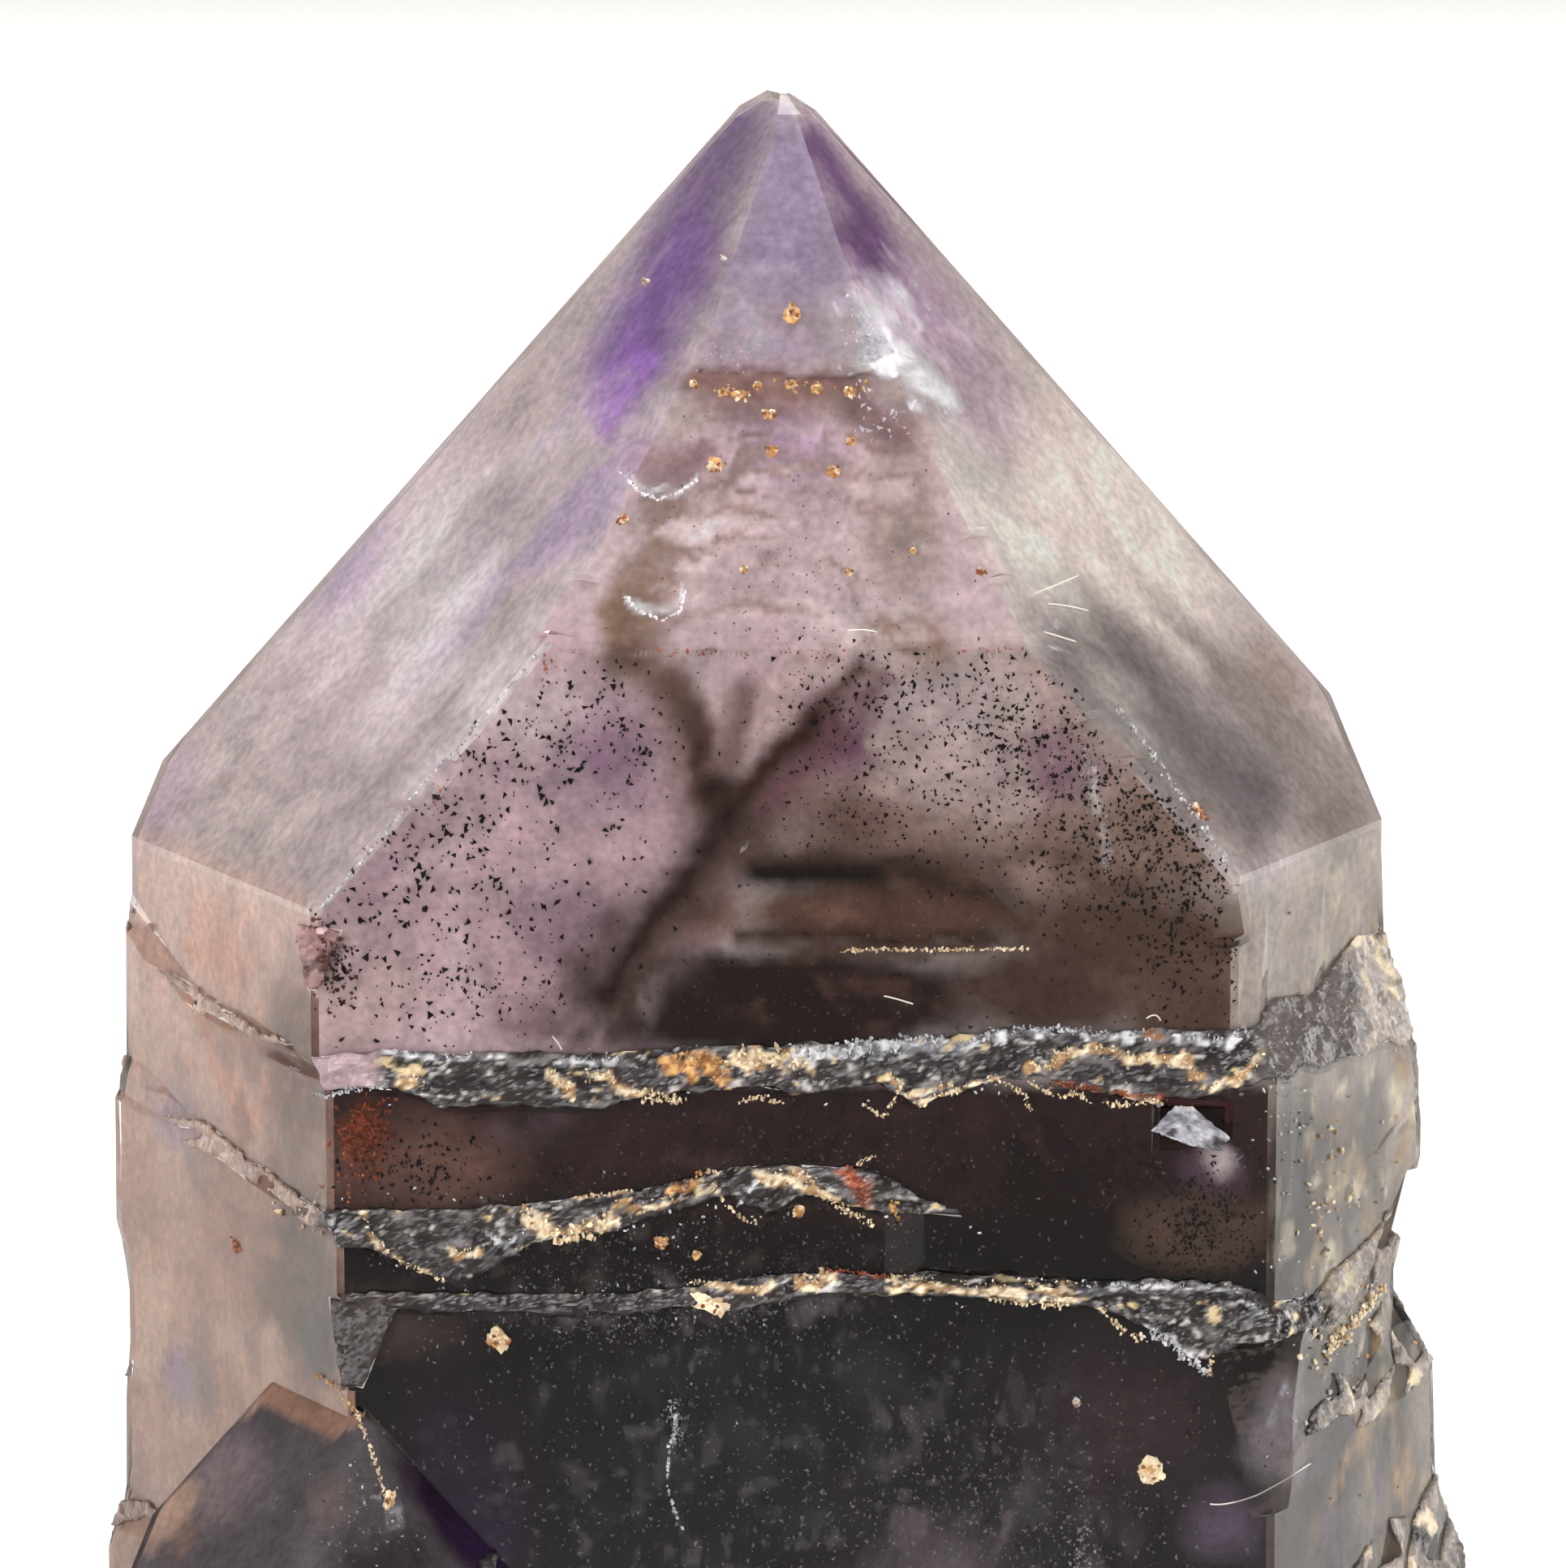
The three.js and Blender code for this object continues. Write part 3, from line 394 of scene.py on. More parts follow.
# The violet and brown zones of the smoky heart, written as the outer clouds are
HEART_CLOUDS = [
    ("brown", (4, -5, 36), (9, 5, 6), (52, 34, 32), 1.0, 0.2),
    ("violet_left", (-7.0, -6, 26), (3.0, 4, 6), (44, 31, 50), 1.0, 0.1),
    ("violet_right", (8.6, -6, 26), (3.0, 4, 5), (64, 50, 72), 1.0, 0.0),
    ("grey_green", (0, -6, 27), (4.5, 4, 5), (44, 45, 48), 1.0, 0.0),
]

# Clusters of black specks just under the front faces: the middle of each as sideways and upwards places,
# its spread both ways, how many there are and how long the largest is
SPECK_CLUSTERS = [
    ((-4.3, 43.6), (1.0, 0.8), 59, 0.16), ((-5.6, 42.9), (0.9, 0.7), 59, 0.17),
    ((-7.0, 41.3), (1.3, 0.9), 78, 0.18), ((-8.3, 39.7), (1.0, 1.2), 62, 0.19),
    ((-7.0, 38.5), (1.6, 1.2), 69, 0.17), ((-3.4, 42.8), (0.9, 0.9), 48, 0.14),
    ((-9.2, 37.6), (0.6, 0.8), 18, 0.17), ((-5.0, 41.0), (2.0, 1.5), 69, 0.13),
    ((-7.6, 37.4), (1.8, 0.6), 60, 0.15), ((-5.6, 39.6), (1.4, 1.2), 39, 0.15),
    ((1.3, 43.5), (0.9, 0.8), 96, 0.12), ((3.0, 44.0), (1.2, 0.6), 120, 0.14),
    ((5.2, 43.3), (1.0, 0.8), 180, 0.14), ((4.0, 41.9), (1.8, 0.9), 216, 0.12),
    ((6.9, 42.2), (0.9, 1.0), 216, 0.13), ((8.2, 40.6), (0.9, 1.1), 312, 0.13),
    ((9.3, 39.0), (0.8, 1.2), 288, 0.13), ((6.5, 40.5), (1.5, 0.8), 180, 0.12),
    ((1.0, 41.0), (1.0, 0.8), 84, 0.09), ((9.2, 32.6), (0.7, 0.7), 300, 0.12),
    ((9.2, 31.9), (0.8, 0.4), 120, 0.1), ((-7.9, 33.7), (0.9, 0.5), 130, 0.15),
]

# Grains inside, just under the front faces: a name, their light and dark display colours, the middle and
# the spread as seen from the front, how many there are and how long the largest is
GRAINS = [
    ("arris_rust", (104, 44, 34), (40, 20, 18), (-9.6, 38.0), (0.22, 0.42), 150, 0.18),
    ("window_rust", (204, 106, 66), (96, 42, 28), (-8.95, 34.4), (0.32, 0.4), 620, 0.22),
    ("tip_white", (252, 250, 252), (206, 196, 210), (2.15, 51.1), (0.3, 0.7), 280, 0.24),
    ("tip_white_low", (250, 246, 250), (200, 188, 204), (3.2, 50.0), (0.6, 0.3), 200, 0.18),
    ("tip_white_left", (240, 236, 242), (190, 180, 196), (-1.0, 51.0), (0.5, 0.25), 90, 0.12),
    ("low_milk", (132, 127, 131), (62, 58, 62), (0.5, 27.4), (5.4, 2.6), 3000, 0.17),
    ("low_milk_right", (156, 144, 150), (84, 74, 80), (4.6, 25.4), (2.2, 1.6), 1300, 0.18),
    ("low_milk_high", (160, 156, 158), (86, 80, 84), (-2.6, 30.6), (2.6, 0.4), 800, 0.16),
    ("feather", (206, 202, 208), (110, 106, 112), (-2.2, 28.1), (0.12, 0.4), 90, 0.16),
    ("right_streak", (236, 226, 226), (178, 164, 164), (6.66, 42.25), (0.06, 0.3), 70, 0.14),
    ("right_streak_low", (232, 222, 220), (170, 156, 154), (7.08, 40.55), (0.06, 0.36), 60, 0.13),
    ("corner_feather", (220, 214, 220), (140, 132, 140), (6.6, 25.0), (0.2, 0.6), 160, 0.16),
    ("window_milk", (120, 96, 92), (66, 44, 42), (0.0, 33.8), (5.6, 0.7), 1000, 0.14),
    ("flank_milk", (130, 122, 122), (64, 54, 54), (-2.5, 31.8), (3.6, 0.5), 800, 0.15),
    ("wedge_milk", (112, 84, 80), (60, 40, 38), (1.5, 37.4), (5.0, 0.5), 600, 0.13),
    ("lens_milk", (150, 118, 108), (84, 58, 50), (2.4, 39.1), (2.2, 0.35), 260, 0.12),
    ("pyramid_dust", (140, 112, 104), (108, 80, 74), (0.2, 46.6), (2.4, 1.6), 420, 0.11),
    ("side_milk", (180, 174, 178), (92, 86, 90), (-8.8, 26.0), (0.5, 1.2), 170, 0.15),
]

# Rims of residue along the ledges, seen from the front: a name, what the crumbs are, half the width of the
# rim and the places it runs through, sideways and upwards in millimetres
RIMS = [
    ("line_left", "grey", 0.04, ((-10.06, 35.28), (-9.76, 35.34), (-9.28, 35.45), (-8.54, 35.51))),
    ("fleck_left", "cream", 0.11, ((-8.16, 35.67), (-7.9, 35.6), (-7.72, 35.47))),
    ("brow_left", "grey", 0.05, ((-8.53, 36.19), (-8.1, 36.09), (-7.27, 36.02), (-6.45, 36.05),
      (-5.88, 36.06))),
    ("brow_middle", "grey", 0.08, ((-4.77, 35.96), (-4.07, 35.93), (-3.38, 35.97))),
    ("patch_left", "cream", 0.13, ((-4.96, 35.61), (-4.48, 35.43))),
    ("wave_left", "cream", 0.11, ((-4.2, 35.66), (-3.71, 35.69), (-3.37, 35.45), (-2.95, 35.31),
      (-2.04, 35.24))),
    ("patch_middle", "ochre", 0.18, ((-2.32, 35.97), (-1.84, 35.91), (-1.42, 35.98), (-1.21, 35.67))),
    ("patch_right", "cream", 0.18, ((-1.07, 35.97), (-0.44, 36.06), (0.11, 36.09), (0.67, 35.97))),
    ("foot_middle", "cream", 0.07, ((-0.86, 35.2), (-0.44, 35.31), (0.11, 35.16))),
    ("brow_grey", "grey", 0.18, ((0.37, 36.09), (1.45, 36.16), (2.52, 36.31), (3.48, 36.38))),
    ("brow_far", "grey", 0.11, ((3.83, 36.29), (4.69, 36.5), (5.41, 36.6), (6.28, 36.63), (7.21, 36.49))),
    ("brow_end", "grey", 0.1, ((7.21, 36.49), (8.28, 36.54), (9.72, 36.38), (10.16, 36.67))),
    ("cream_far", "cream", 0.09, ((6.04, 36.13), (6.7, 36.23), (7.21, 36.23), (7.63, 36.08),
      (8.63, 36.05))),
    ("ochre_far", "ochre", 0.09, ((7.9, 36.5), (8.3, 36.52))),
    ("hook_far", "cream", 0.13, ((8.86, 36.05), (9.0, 35.77), (9.21, 35.68))),
    ("teeth_far", "cream", 0.08, ((9.41, 35.46), (9.64, 35.66), (9.92, 35.6), (10.2, 35.87),
      (10.52, 36.16))),
    ("island", "cream", 0.11, ((5.4, 35.92), (5.83, 35.96), (6.04, 35.98))),
    ("sliver_one", "cream", 0.05, ((2.75, 35.29), (3.24, 35.45), (3.75, 35.56))),
    ("sliver_two", "cream", 0.05, ((3.03, 35.11), (3.47, 35.32), (4.1, 35.51), (4.68, 35.71),
      (5.03, 35.62))),
    ("drop", "cream", 0.07, ((5.03, 35.54), (5.4, 35.33), (5.44, 35.02))),
    ("lip_far", "cream", 0.07, ((5.4, 35.65), (5.97, 35.36), (6.55, 35.36), (6.76, 35.18))),
    ("lip_end", "cream", 0.06, ((7.13, 35.18), (7.41, 35.11), (7.99, 35.22), (8.5, 35.06))),
    ("film", "rust", 0.06, ((5.9, 35.62), (6.8, 35.5), (7.6, 35.35), (8.4, 35.25))),
    ("spike", "cream", 0.04, ((1.82, 35.18), (2.27, 34.84), (2.68, 35.52), (2.38, 35.69))),
    ("flake_rim", "cream", 0.05, ((-9.02, 32.74), (-8.94, 32.47), (-8.66, 32.1), (-8.09, 31.7),
      (-7.16, 31.31))),
    ("flake_patch", "cream", 0.09, ((-7.2, 32.04), (-6.99, 31.88), (-6.49, 31.91))),
    ("flake_point", "grey", 0.04, ((-6.3, 32.33), (-5.91, 32.13), (-5.45, 32.44))),
    ("big_lip", "cream", 0.16, ((-5.45, 32.63), (-5.1, 32.54), (-4.76, 32.33), (-4.27, 32.44),
      (-3.64, 32.62))),
    ("upper_line", "cream", 0.04, ((-4.42, 33.06), (-3.78, 33.1), (-3.17, 33.24))),
    ("lower_line", "cream", 0.04, ((-3.23, 32.88), (-2.67, 33.0), (-2.11, 33.13))),
    ("joining_line", "cream", 0.05, ((-3.71, 32.74), (-3.5, 32.95), (-3.24, 33.08))),
    ("rise", "ochre", 0.08, ((-2.32, 33.27), (-1.9, 33.34), (-1.7, 33.62))),
    ("crest_left", "cream", 0.05, ((-1.63, 33.7), (-1.28, 33.63))),
    ("v_left", "cream", 0.04, ((-1.42, 33.48), (-1.14, 33.07), (-0.65, 32.67), (-0.44, 32.71))),
    ("v_scratch", "grey", 0.03, ((-0.31, 33.64), (-0.86, 33.07))),
    ("crest", "cream", 0.14, ((-0.31, 33.64), (-0.1, 33.46), (0.25, 33.59), (0.53, 33.43))),
    ("crest_fall", "cream", 0.09, ((0.37, 33.59), (0.66, 33.54), (0.95, 33.24), (1.31, 33.03),
      (2.1, 32.6))),
    ("rusty_fall", "rust", 0.14, ((1.45, 33.64), (1.82, 33.4), (1.89, 33.08))),
    ("rusty_top", "cream", 0.04, ((1.66, 33.8), (2.1, 33.99))),
    ("rusty_end", "ochre", 0.09, ((2.45, 32.98), (2.61, 32.62))),
    ("third_left", "cream", 0.06, ((-1.83, 31.34), (-1.28, 31.27), (-0.44, 31.18), (-0.14, 31.34))),
    ("third_tooth", "cream", 0.14, ((0.39, 31.37), (0.8, 31.32), (1.03, 31.48))),
    ("third_rust", "rust", 0.04, ((1.1, 31.6), (1.82, 31.54), (2.38, 31.4))),
    ("third_line", "cream", 0.05, ((2.38, 31.4), (3.47, 31.24), (4.69, 31.16), (5.41, 31.14),
      (6.43, 31.11))),
    ("third_far", "grey", 0.04, ((6.43, 31.11), (7.15, 31.08), (8.3, 31.09), (9.75, 31.04),
      (10.03, 30.97))),
    ("tooth_one", "cream", 0.11, ((2.56, 31.35), (2.55, 31.16))),
    ("tooth_two", "cream", 0.11, ((3.14, 31.28), (3.15, 31.16))),
    ("third_lip", "cream", 0.08, ((4.61, 31.07), (5.4, 30.96), (6.12, 30.92), (6.34, 31.0))),
    ("streak_top", "cream", 0.07, ((6.99, 30.84), (7.27, 30.54), (7.62, 30.25), (7.99, 30.1))),
    ("streak", "grey", 0.11, ((7.99, 30.32), (8.49, 30.1), (9.0, 29.65), (9.35, 29.36))),
    ("streak_end", "cream", 0.04, ((9.35, 29.36), (9.42, 29.79))),
    ("corner_line", "grey", 0.04, ((10.03, 30.84), (10.88, 30.33))),
    ("crescent_upper", "white", 0.02, ((-3.38, 48.5), (-3.0, 48.15), (-2.6, 48.0), (-2.2, 48.12),
      (-1.75, 48.4))),
    ("crescent_lower", "white", 0.02, ((-3.3, 46.1), (-3.0, 45.78), (-2.5, 45.62), (-2.1, 45.78),
      (-2.0, 46.2))),
    ("left_arris", "grey", 0.02, ((-5.2, 44.95), (-6.4, 43.5), (-7.7, 41.95), (-9.0, 40.4), (-9.9, 39.35))),
    ("right_arris", "grey", 0.03, ((7.3, 43.6), (8.0, 42.7), (8.9, 41.45), (9.75, 40.3))),
    ("feather", "grey", 0.07, ((-2.32, 28.7), (-2.2, 28.3), (-2.3, 27.9), (-2.36, 27.6))),
    ("feather_tail", "grey", 0.015, ((-2.38, 27.5), (-2.42, 26.9), (-2.26, 26.3), (-2.06, 25.85))),
    ("inner_line", "cream", 0.04, ((1.34, 38.4), (2.31, 38.45), (3.36, 38.42), (5.44, 38.45))),
    ("junction_top", "ochre", 0.04, ((-10.05, 29.06), (-9.6, 28.97), (-9.15, 28.53))),
    ("junction", "cream", 0.04, ((-9.15, 28.53), (-8.73, 27.63), (-8.36, 26.64))),
    ("right_ridge", "cream", 0.14, ((12.0, 29.2), (12.8, 29.5), (13.4, 29.9))),
]

# Patches of crumbs: a name, what they are, the middle, the spread, how many and how long the largest is
PATCHES = [
    ("band_flecks", "ochre", (0.1, 50.2), (1.4, 0.08), 46, 0.14),
    ("left_dashes", "rust", (-2.0, 44.96), (0.6, 0.05), 26, 0.12),
    ("middle_dashes", "rust", (1.0, 44.96), (0.7, 0.05), 26, 0.12),
    ("right_dashes", "rust", (4.7, 45.0), (0.4, 0.05), 16, 0.12),
    ("left_arris_rust", "rust", (-4.96, 44.56), (0.14, 0.22), 26, 0.14),
    ("left_arris_low", "rust", (-7.38, 41.75), (0.12, 0.2), 18, 0.12),
    ("window_rust_low", "rust", (-9.2, 33.4), (0.2, 0.5), 50, 0.12),
    ("arris_rust", "dark_rust", (-9.9, 38.35), (0.2, 0.36), 130, 0.17),
    ("left_face_dot", "rust", (-11.99, 31.1), (0.1, 0.1), 14, 0.16),
    ("right_face_cream_high", "cream", (12.9, 36.8), (0.5, 0.5), 50, 0.2),
    ("right_face_cream_mid", "cream", (12.1, 32.6), (0.3, 0.8), 50, 0.2),
    ("right_face_cream_low", "cream", (12.3, 29.4), (0.5, 0.4), 50, 0.2),
    ("right_face_ochre", "ochre", (13.4, 31.0), (0.8, 2.6), 50, 0.16),
    ("right_face_grey", "grey", (12.4, 30.2), (0.9, 2.6), 110, 0.16),
    ("right_corner_grey", "grey", (10.9, 34.8), (0.4, 1.4), 90, 0.12),
    ("ledge_sparkle", "grey", (2.0, 35.8), (5.0, 0.28), 260, 0.14),
    ("ledge_sparkle_far", "grey", (8.6, 35.9), (1.2, 0.35), 90, 0.16),
    ("second_sparkle", "grey", (-3.0, 32.8), (3.2, 0.35), 120, 0.12),
    ("third_sparkle", "grey", (-2.6, 31.0), (2.0, 0.3), 130, 0.1),
    ("side_sparkle", "grey", (-8.8, 26.0), (0.7, 1.2), 60, 0.09),
    ("low_sparkle", "grey", (0.5, 27.0), (5.0, 2.6), 110, 0.06),
    ("left_corner_cream", "cream", (-10.4, 32.5), (0.5, 0.2), 22, 0.13),
]

# Single flecks: a name, what they are, the place sideways and upwards, the width and the height
FLECKS = [
    ("teardrop", "ochre", 0.3, 51.74, 0.26, 0.46), ("band_left", "ochre", -1.18, 50.16, 0.28, 0.16),
    ("band_middle", "ochre", -0.82, 50.08, 0.36, 0.2), ("band_far_left", "ochre", -1.82, 50.3, 0.16, 0.22),
    ("band_inner", "ochre", -0.45, 50.28, 0.2, 0.16), ("band_dash", "ochre", 0.3, 50.3, 0.3, 0.14),
    ("band_dash_right", "ochre", 0.85, 50.22, 0.32, 0.16), ("band_right", "ochre", 1.56, 50.16, 0.3, 0.18),
    ("below_band", "ochre", -0.19, 49.71, 0.3, 0.26), ("centre", "ochre", -0.12, 48.96, 0.24, 0.26),
    ("left_drop", "ochre", -1.37, 48.69, 0.34, 0.4), ("right_drop", "ochre", 1.2, 48.56, 0.3, 0.28),
    ("right_upper", "ochre", 1.57, 49.17, 0.2, 0.2), ("low_left", "ochre", -0.73, 46.61, 0.14, 0.2),
    ("low_right", "ochre", 1.53, 46.56, 0.2, 0.15), ("far_right", "ochre", 2.92, 46.99, 0.16, 0.12),
    ("rust_left", "rust", -3.36, 47.6, 0.26, 0.24), ("rust_right", "rust", 4.4, 46.57, 0.24, 0.14),
    ("rust_streak", "rust", 9.07, 41.38, 0.12, 0.5), ("chip_low_left", "cream", -6.05, 30.14, 0.5, 0.42),
    ("chip_third", "cream", -1.42, 30.89, 0.86, 0.56), ("chip_low_right", "cream", 8.14, 27.18, 0.5, 0.66),
    ("stain_left", "ochre", -2.55, 32.2, 0.36, 0.24), ("stain_right", "ochre", -1.75, 31.95, 0.2, 0.2),
    ("stain_middle", "ochre", 0.45, 32.9, 0.3, 0.28), ("stain_centre", "ochre", 0.2, 33.3, 0.14, 0.3),
    ("junction_fleck", "cream", -8.4, 26.9, 0.2, 0.5), ("white_high", "grey", -1.15, 52.78, 0.14, 0.1),
    ("white_side", "grey", -2.89, 51.97, 0.12, 0.16), ("white_low", "grey", 6.5, 28.7, 0.18, 0.18),
    ("left_cream", "cream", -10.9, 32.3, 0.16, 0.2),
]

# White fractures and veils inside: a name, the middle, the depth under the face, the width and height, the
# turn in degrees as seen from the front, and the density
VEILS = [
    ("tip_fracture", (2.2, 51.1), 0.14, (1.7, 3.2), 25, 1.0),
    ("tip_fracture_low", (3.3, 49.9), 0.14, (2.8, 1.3), -35, 0.95),
    ("tip_fracture_high", (3.3, 51.7), 0.14, (1.6, 2.4), -20, 0.6),
    ("tip_sheen", (-0.4, 51.3), 0.15, (2.4, 1.6), 0, 0.4),
    ("tip_dust", (-0.9, 51.0), 0.14, (0.9, 0.5), 20, 0.7),
    ("crescent_upper", (-2.47, 48.27), 0.08, (1.7, 0.5), 14, 1.0),
    ("crescent_low", (-2.67, 45.98), 0.08, (1.0, 0.8), 20, 0.8),
    ("feather", (6.2, 45.4), 0.15, (2.2, 0.3), 12, 0.8),
    ("feather_low", (6.0, 45.0), 0.15, (1.8, 0.25), -24, 0.8),
    ("right_streak", (6.68, 42.18), 0.1, (0.4, 1.4), -6, 0.6),
    ("right_streak_low", (7.08, 40.56), 0.1, (0.35, 1.2), 4, 0.6),
    ("white_crack", (-0.71, 40.67), 0.08, (0.5, 0.2), 60, 0.9),
    ("low_feather", (-1.97, 27.9), 0.2, (0.5, 1.6), 10, 1.0),
    ("low_feather_tail", (-2.1, 26.1), 0.2, (0.25, 1.8), 8, 0.9),
    ("milky_veil", (5.0, 26.3), 0.4, (3.0, 2.2), 10, 0.5),
    ("milky_veil_left", (0.6, 27.4), 0.5, (3.6, 2.4), -8, 0.4),
    ("right_feather", (6.65, 25.2), 0.3, (1.0, 1.8), -30, 0.8),
    ("pale_oval", (9.71, 33.85), 0.1, (1.1, 0.75), 10, 0.9),
    ("left_pale", (-5.4, 33.0), 0.2, (2.4, 0.8), 4, 0.35),
    ("side_feather", (-11.0, 26.4), 0.1, (0.4, 0.8), 20, 0.7),
    ("side_veil", (-8.6, 26.6), 0.1, (1.2, 1.4), 10, 0.5),
    ("corner_veil", (11.0, 28.6), 0.1, (1.2, 1.6), -20, 0.5),
    ("arris_veil", (10.9, 38.4), 0.1, (1.6, 0.8), -12, 0.6),
]

# The bright chip under the first ledge: the corners of its outline, anticlockwise from the right as seen
# from the front, and the raised place inside, sideways and upwards
CHIP_OUTLINE = [
    (9.8, 34.4), (9.0, 35.0), (8.6, 35.0), (8.1, 34.56), (8.38, 34.4), (8.93, 34.22), (9.58, 34.1),
]
CHIP_HUB = (8.9, 34.66)
# How far its hub and its rim rise off the crystal, its colour, and its mists: a name, a colour, how fine
# the mist is along each axis and the noise levels between which it sets in
CHIP_HUB_RISE = 0.3
CHIP_RIM_RISE = 0.06
CHIP_COLOUR = (158, 155, 163)
CHIP_MISTS = [
    ("bright", (212, 210, 216), (2.6, 2.6, 2.6), 0.0, 1.4),
    ("dark", (70, 63, 70), (3.0, 3.0, 4.0), 0.6, 1.4),
]

# Dust fibres lying on the crystal, as places sideways and upwards
FIBRES = [
    ("long_hair", ((9.4, 26.45), (9.9, 26.36), (10.6, 26.65), (11.1, 26.86), (11.6, 26.95))),
    ("lip_hair", ((2.3, 37.4), (2.6, 37.34), (2.93, 37.22))),
    ("ledge_hair", ((8.0, 36.9), (8.25, 37.1), (8.3, 36.85))),
    ("slope_scratch_high", ((5.5, 46.0), (6.0, 46.0), (6.5, 46.05))),
    ("slope_scratch_middle", ((5.8, 45.75), (6.3, 45.6), (6.7, 45.4))),
    ("slope_scratch_low", ((5.7, 45.3), (6.0, 45.15), (6.4, 44.95))),
    ("scratch", ((-4.9, 36.5), (-4.75, 36.35), (-4.7, 36.2))),
    ("top_hair", ((1.5, 45.4), (1.8, 45.46), (2.12, 45.38))),
]

# The colours of the crumbs: light and dark display colours
CRUMB_COLOURS = {
    "cream": ((236, 218, 184), (152, 118, 80)),
    "ochre": ((214, 166, 104), (134, 88, 48)),
    "grey": ((206, 204, 206), (96, 93, 97)),
    "white": ((246, 244, 246), (196, 188, 194)),
    "rust": ((160, 84, 52), (92, 46, 30)),
    "dark_rust": ((96, 44, 34), (28, 16, 16)),
}

# The colours of the whole rind, laid as mists and written as the chip's are. The grey chips are partly a
# painted reflection of the light on the glassy ledges, and the bright edges are painted highlights.
RIND_MISTS = [
    ("dark_hollows", (26, 20, 20), (1.3, 1.3, 2.4), -0.2, 1.4),
    ("grey_chips_and_reflection", (104, 98, 97), (1.8, 1.8, 5.0), 0.7, 1.8),
    ("painted_highlights", (180, 174, 168), (2.6, 2.6, 6.5), 1.3, 2.1),
    ("cream_film", (196, 172, 130), (1.4, 1.4, 3.0), 1.7, 2.1),
]

# The paler rind on the right: the middle and radii of its parts, and the mists laid on each, as fine one
# way as another
RIGHT_RIND_PARTS = [((12.8, -3, 34), (2.4, 9, 5)), ((13.4, -2, 26), (2.8, 9, 8))]
RIGHT_RIND_MISTS = [
    ("grey", (140, 128, 119), 0.7, -2.6, -0.8), ("cream", (206, 188, 156), 1.2, 0.7, 1.6),
    ("shade", (96, 88, 83), 0.9, 0.4, 1.8),
]

# Plain zones of the rind: a name, a centre, half sizes, the softness of the sides and a colour
RIND_ZONES = [
    # The two zones on the left face darken its ledges a little as painted shade
    ("left_low", (-15, -1, 25), (4.6, 12, 25), (0.6, 2, 2.0), (118, 98, 88)),
    ("left_high", (-15, -1, 58), (4.6, 12, 25), (0.6, 2, 2.0), (138, 115, 103)),
    ("third_ledge_left", (-5.0, -10.5, 30.5), (3.2, 2, 0.45), (0.6, 1, 0.2), (40, 32, 32)),
    ("first_ledge_left", (-9.8, -9.5, 35.95), (0.9, 2, 0.42), (0.5, 0.5, 0.2), (150, 127, 131)),
    ("right_corner", (11.6, -7, 35.4), (0.9, 3, 1.6), (0.6, 1, 0.4), (84, 76, 73)),
]

# Where the left arris is rusty: a centre and radii
RUSTY_ARRIS = ((-9.85, -7.9, 38.1), (0.7, 1.4, 0.8))

# The rough growth ledges: how far a face leans up, between which heights, where the side crystal begins in
# front and where it ends on the right
LEDGE_LEAN = 0.2
LEDGE_HEIGHTS = (3.0, 37.4)
SIDE_CRYSTAL_FRONT = -10.4
SIDE_CRYSTAL_RIGHT = -6.5

# Broken facets at the left arris that are rough and dull: the middle of each, how far it reaches and its
# colour
DULL_FACETS = [
    ("lower", (-9.2, -9.5, 29.9), 1.4, (48, 38, 37)),
    ("upper", (-9.9, -7.9, 38.45), 0.9, (136, 100, 98)),
]

# How far the haze of the main crystal reaches forwards and to the left, where the side crystal stands
# before it
SIDE_FRONT_REACH = 9.75
SIDE_LEFT_REACH = 13.1


def linear(display):
    """A display colour from 0 to 255 as the linear colour that a shader takes."""
    shares = [value / 255 for value in display]
    return tuple(s / 12.92 if s <= 0.04045 else ((s + 0.055) / 1.055) ** 2.4 for s in shares)


class StageSettings(bpy.types.PropertyGroup):
    floor_size: bpy.props.FloatProperty(
        name="Floor size", description="Width of the pale floor", default=2.4, min=0.2, unit="LENGTH")
    floor_colour: bpy.props.FloatVectorProperty(
        name="Floor colour", description="Colour of the pale floor", subtype="COLOR",
        default=linear((226, 225, 222)), min=0, max=1)
    room_light: bpy.props.FloatProperty(
        name="Room light", description="Strength of the white light from all round", default=1.0, min=0)
    top_light: bpy.props.FloatProperty(
        name="Top light", description="Power of the soft light above and behind", default=1.2, min=0,
        unit="POWER")


class QuartzSettings(bpy.types.PropertyGroup):
    refraction: bpy.props.FloatProperty(
        name="Refraction", description="Index of refraction of quartz", default=1.544, min=1)
    tint: bpy.props.FloatVectorProperty(
        name="Tint", description="What the clear quartz lets through", subtype="COLOR",
        default=linear((236, 228, 238)), min=0, max=1)
    absorption: bpy.props.FloatProperty(
        name="Absorption", description="How strongly the quartz takes light, for each metre", default=12.0,
        min=0)
    haze_brightness: bpy.props.FloatProperty(
        name="Haze brightness", description="How much lighter than seen the haze is coloured", default=1.3,
        min=0.1)


class ResidueSettings(bpy.types.PropertyGroup):
    seed: bpy.props.IntProperty(
        name="Seed", description="Which scatter of specks and crumbs is made", default=7, min=0)
    rind_grain: bpy.props.FloatProperty(
        name="Rind grain", description="Grain size of the rough ledges", default=0.00009, min=0.00005,
        unit="LENGTH")
    rind_relief: bpy.props.FloatProperty(
        name="Rind relief", description="Roughness of the ledges", default=0.00022, min=0, unit="LENGTH")


def deselect_all():
    bpy.ops.object.select_all(action="DESELECT")


def activate(piece):
    deselect_all()
    piece.select_set(True)
    bpy.context.view_layer.objects.active = piece


@contextmanager
def edit_mode():
    """Edit mode for the steps inside it, and object mode again after them."""
    bpy.ops.object.mode_set(mode="EDIT")
    yield
    bpy.ops.object.mode_set(mode="OBJECT")


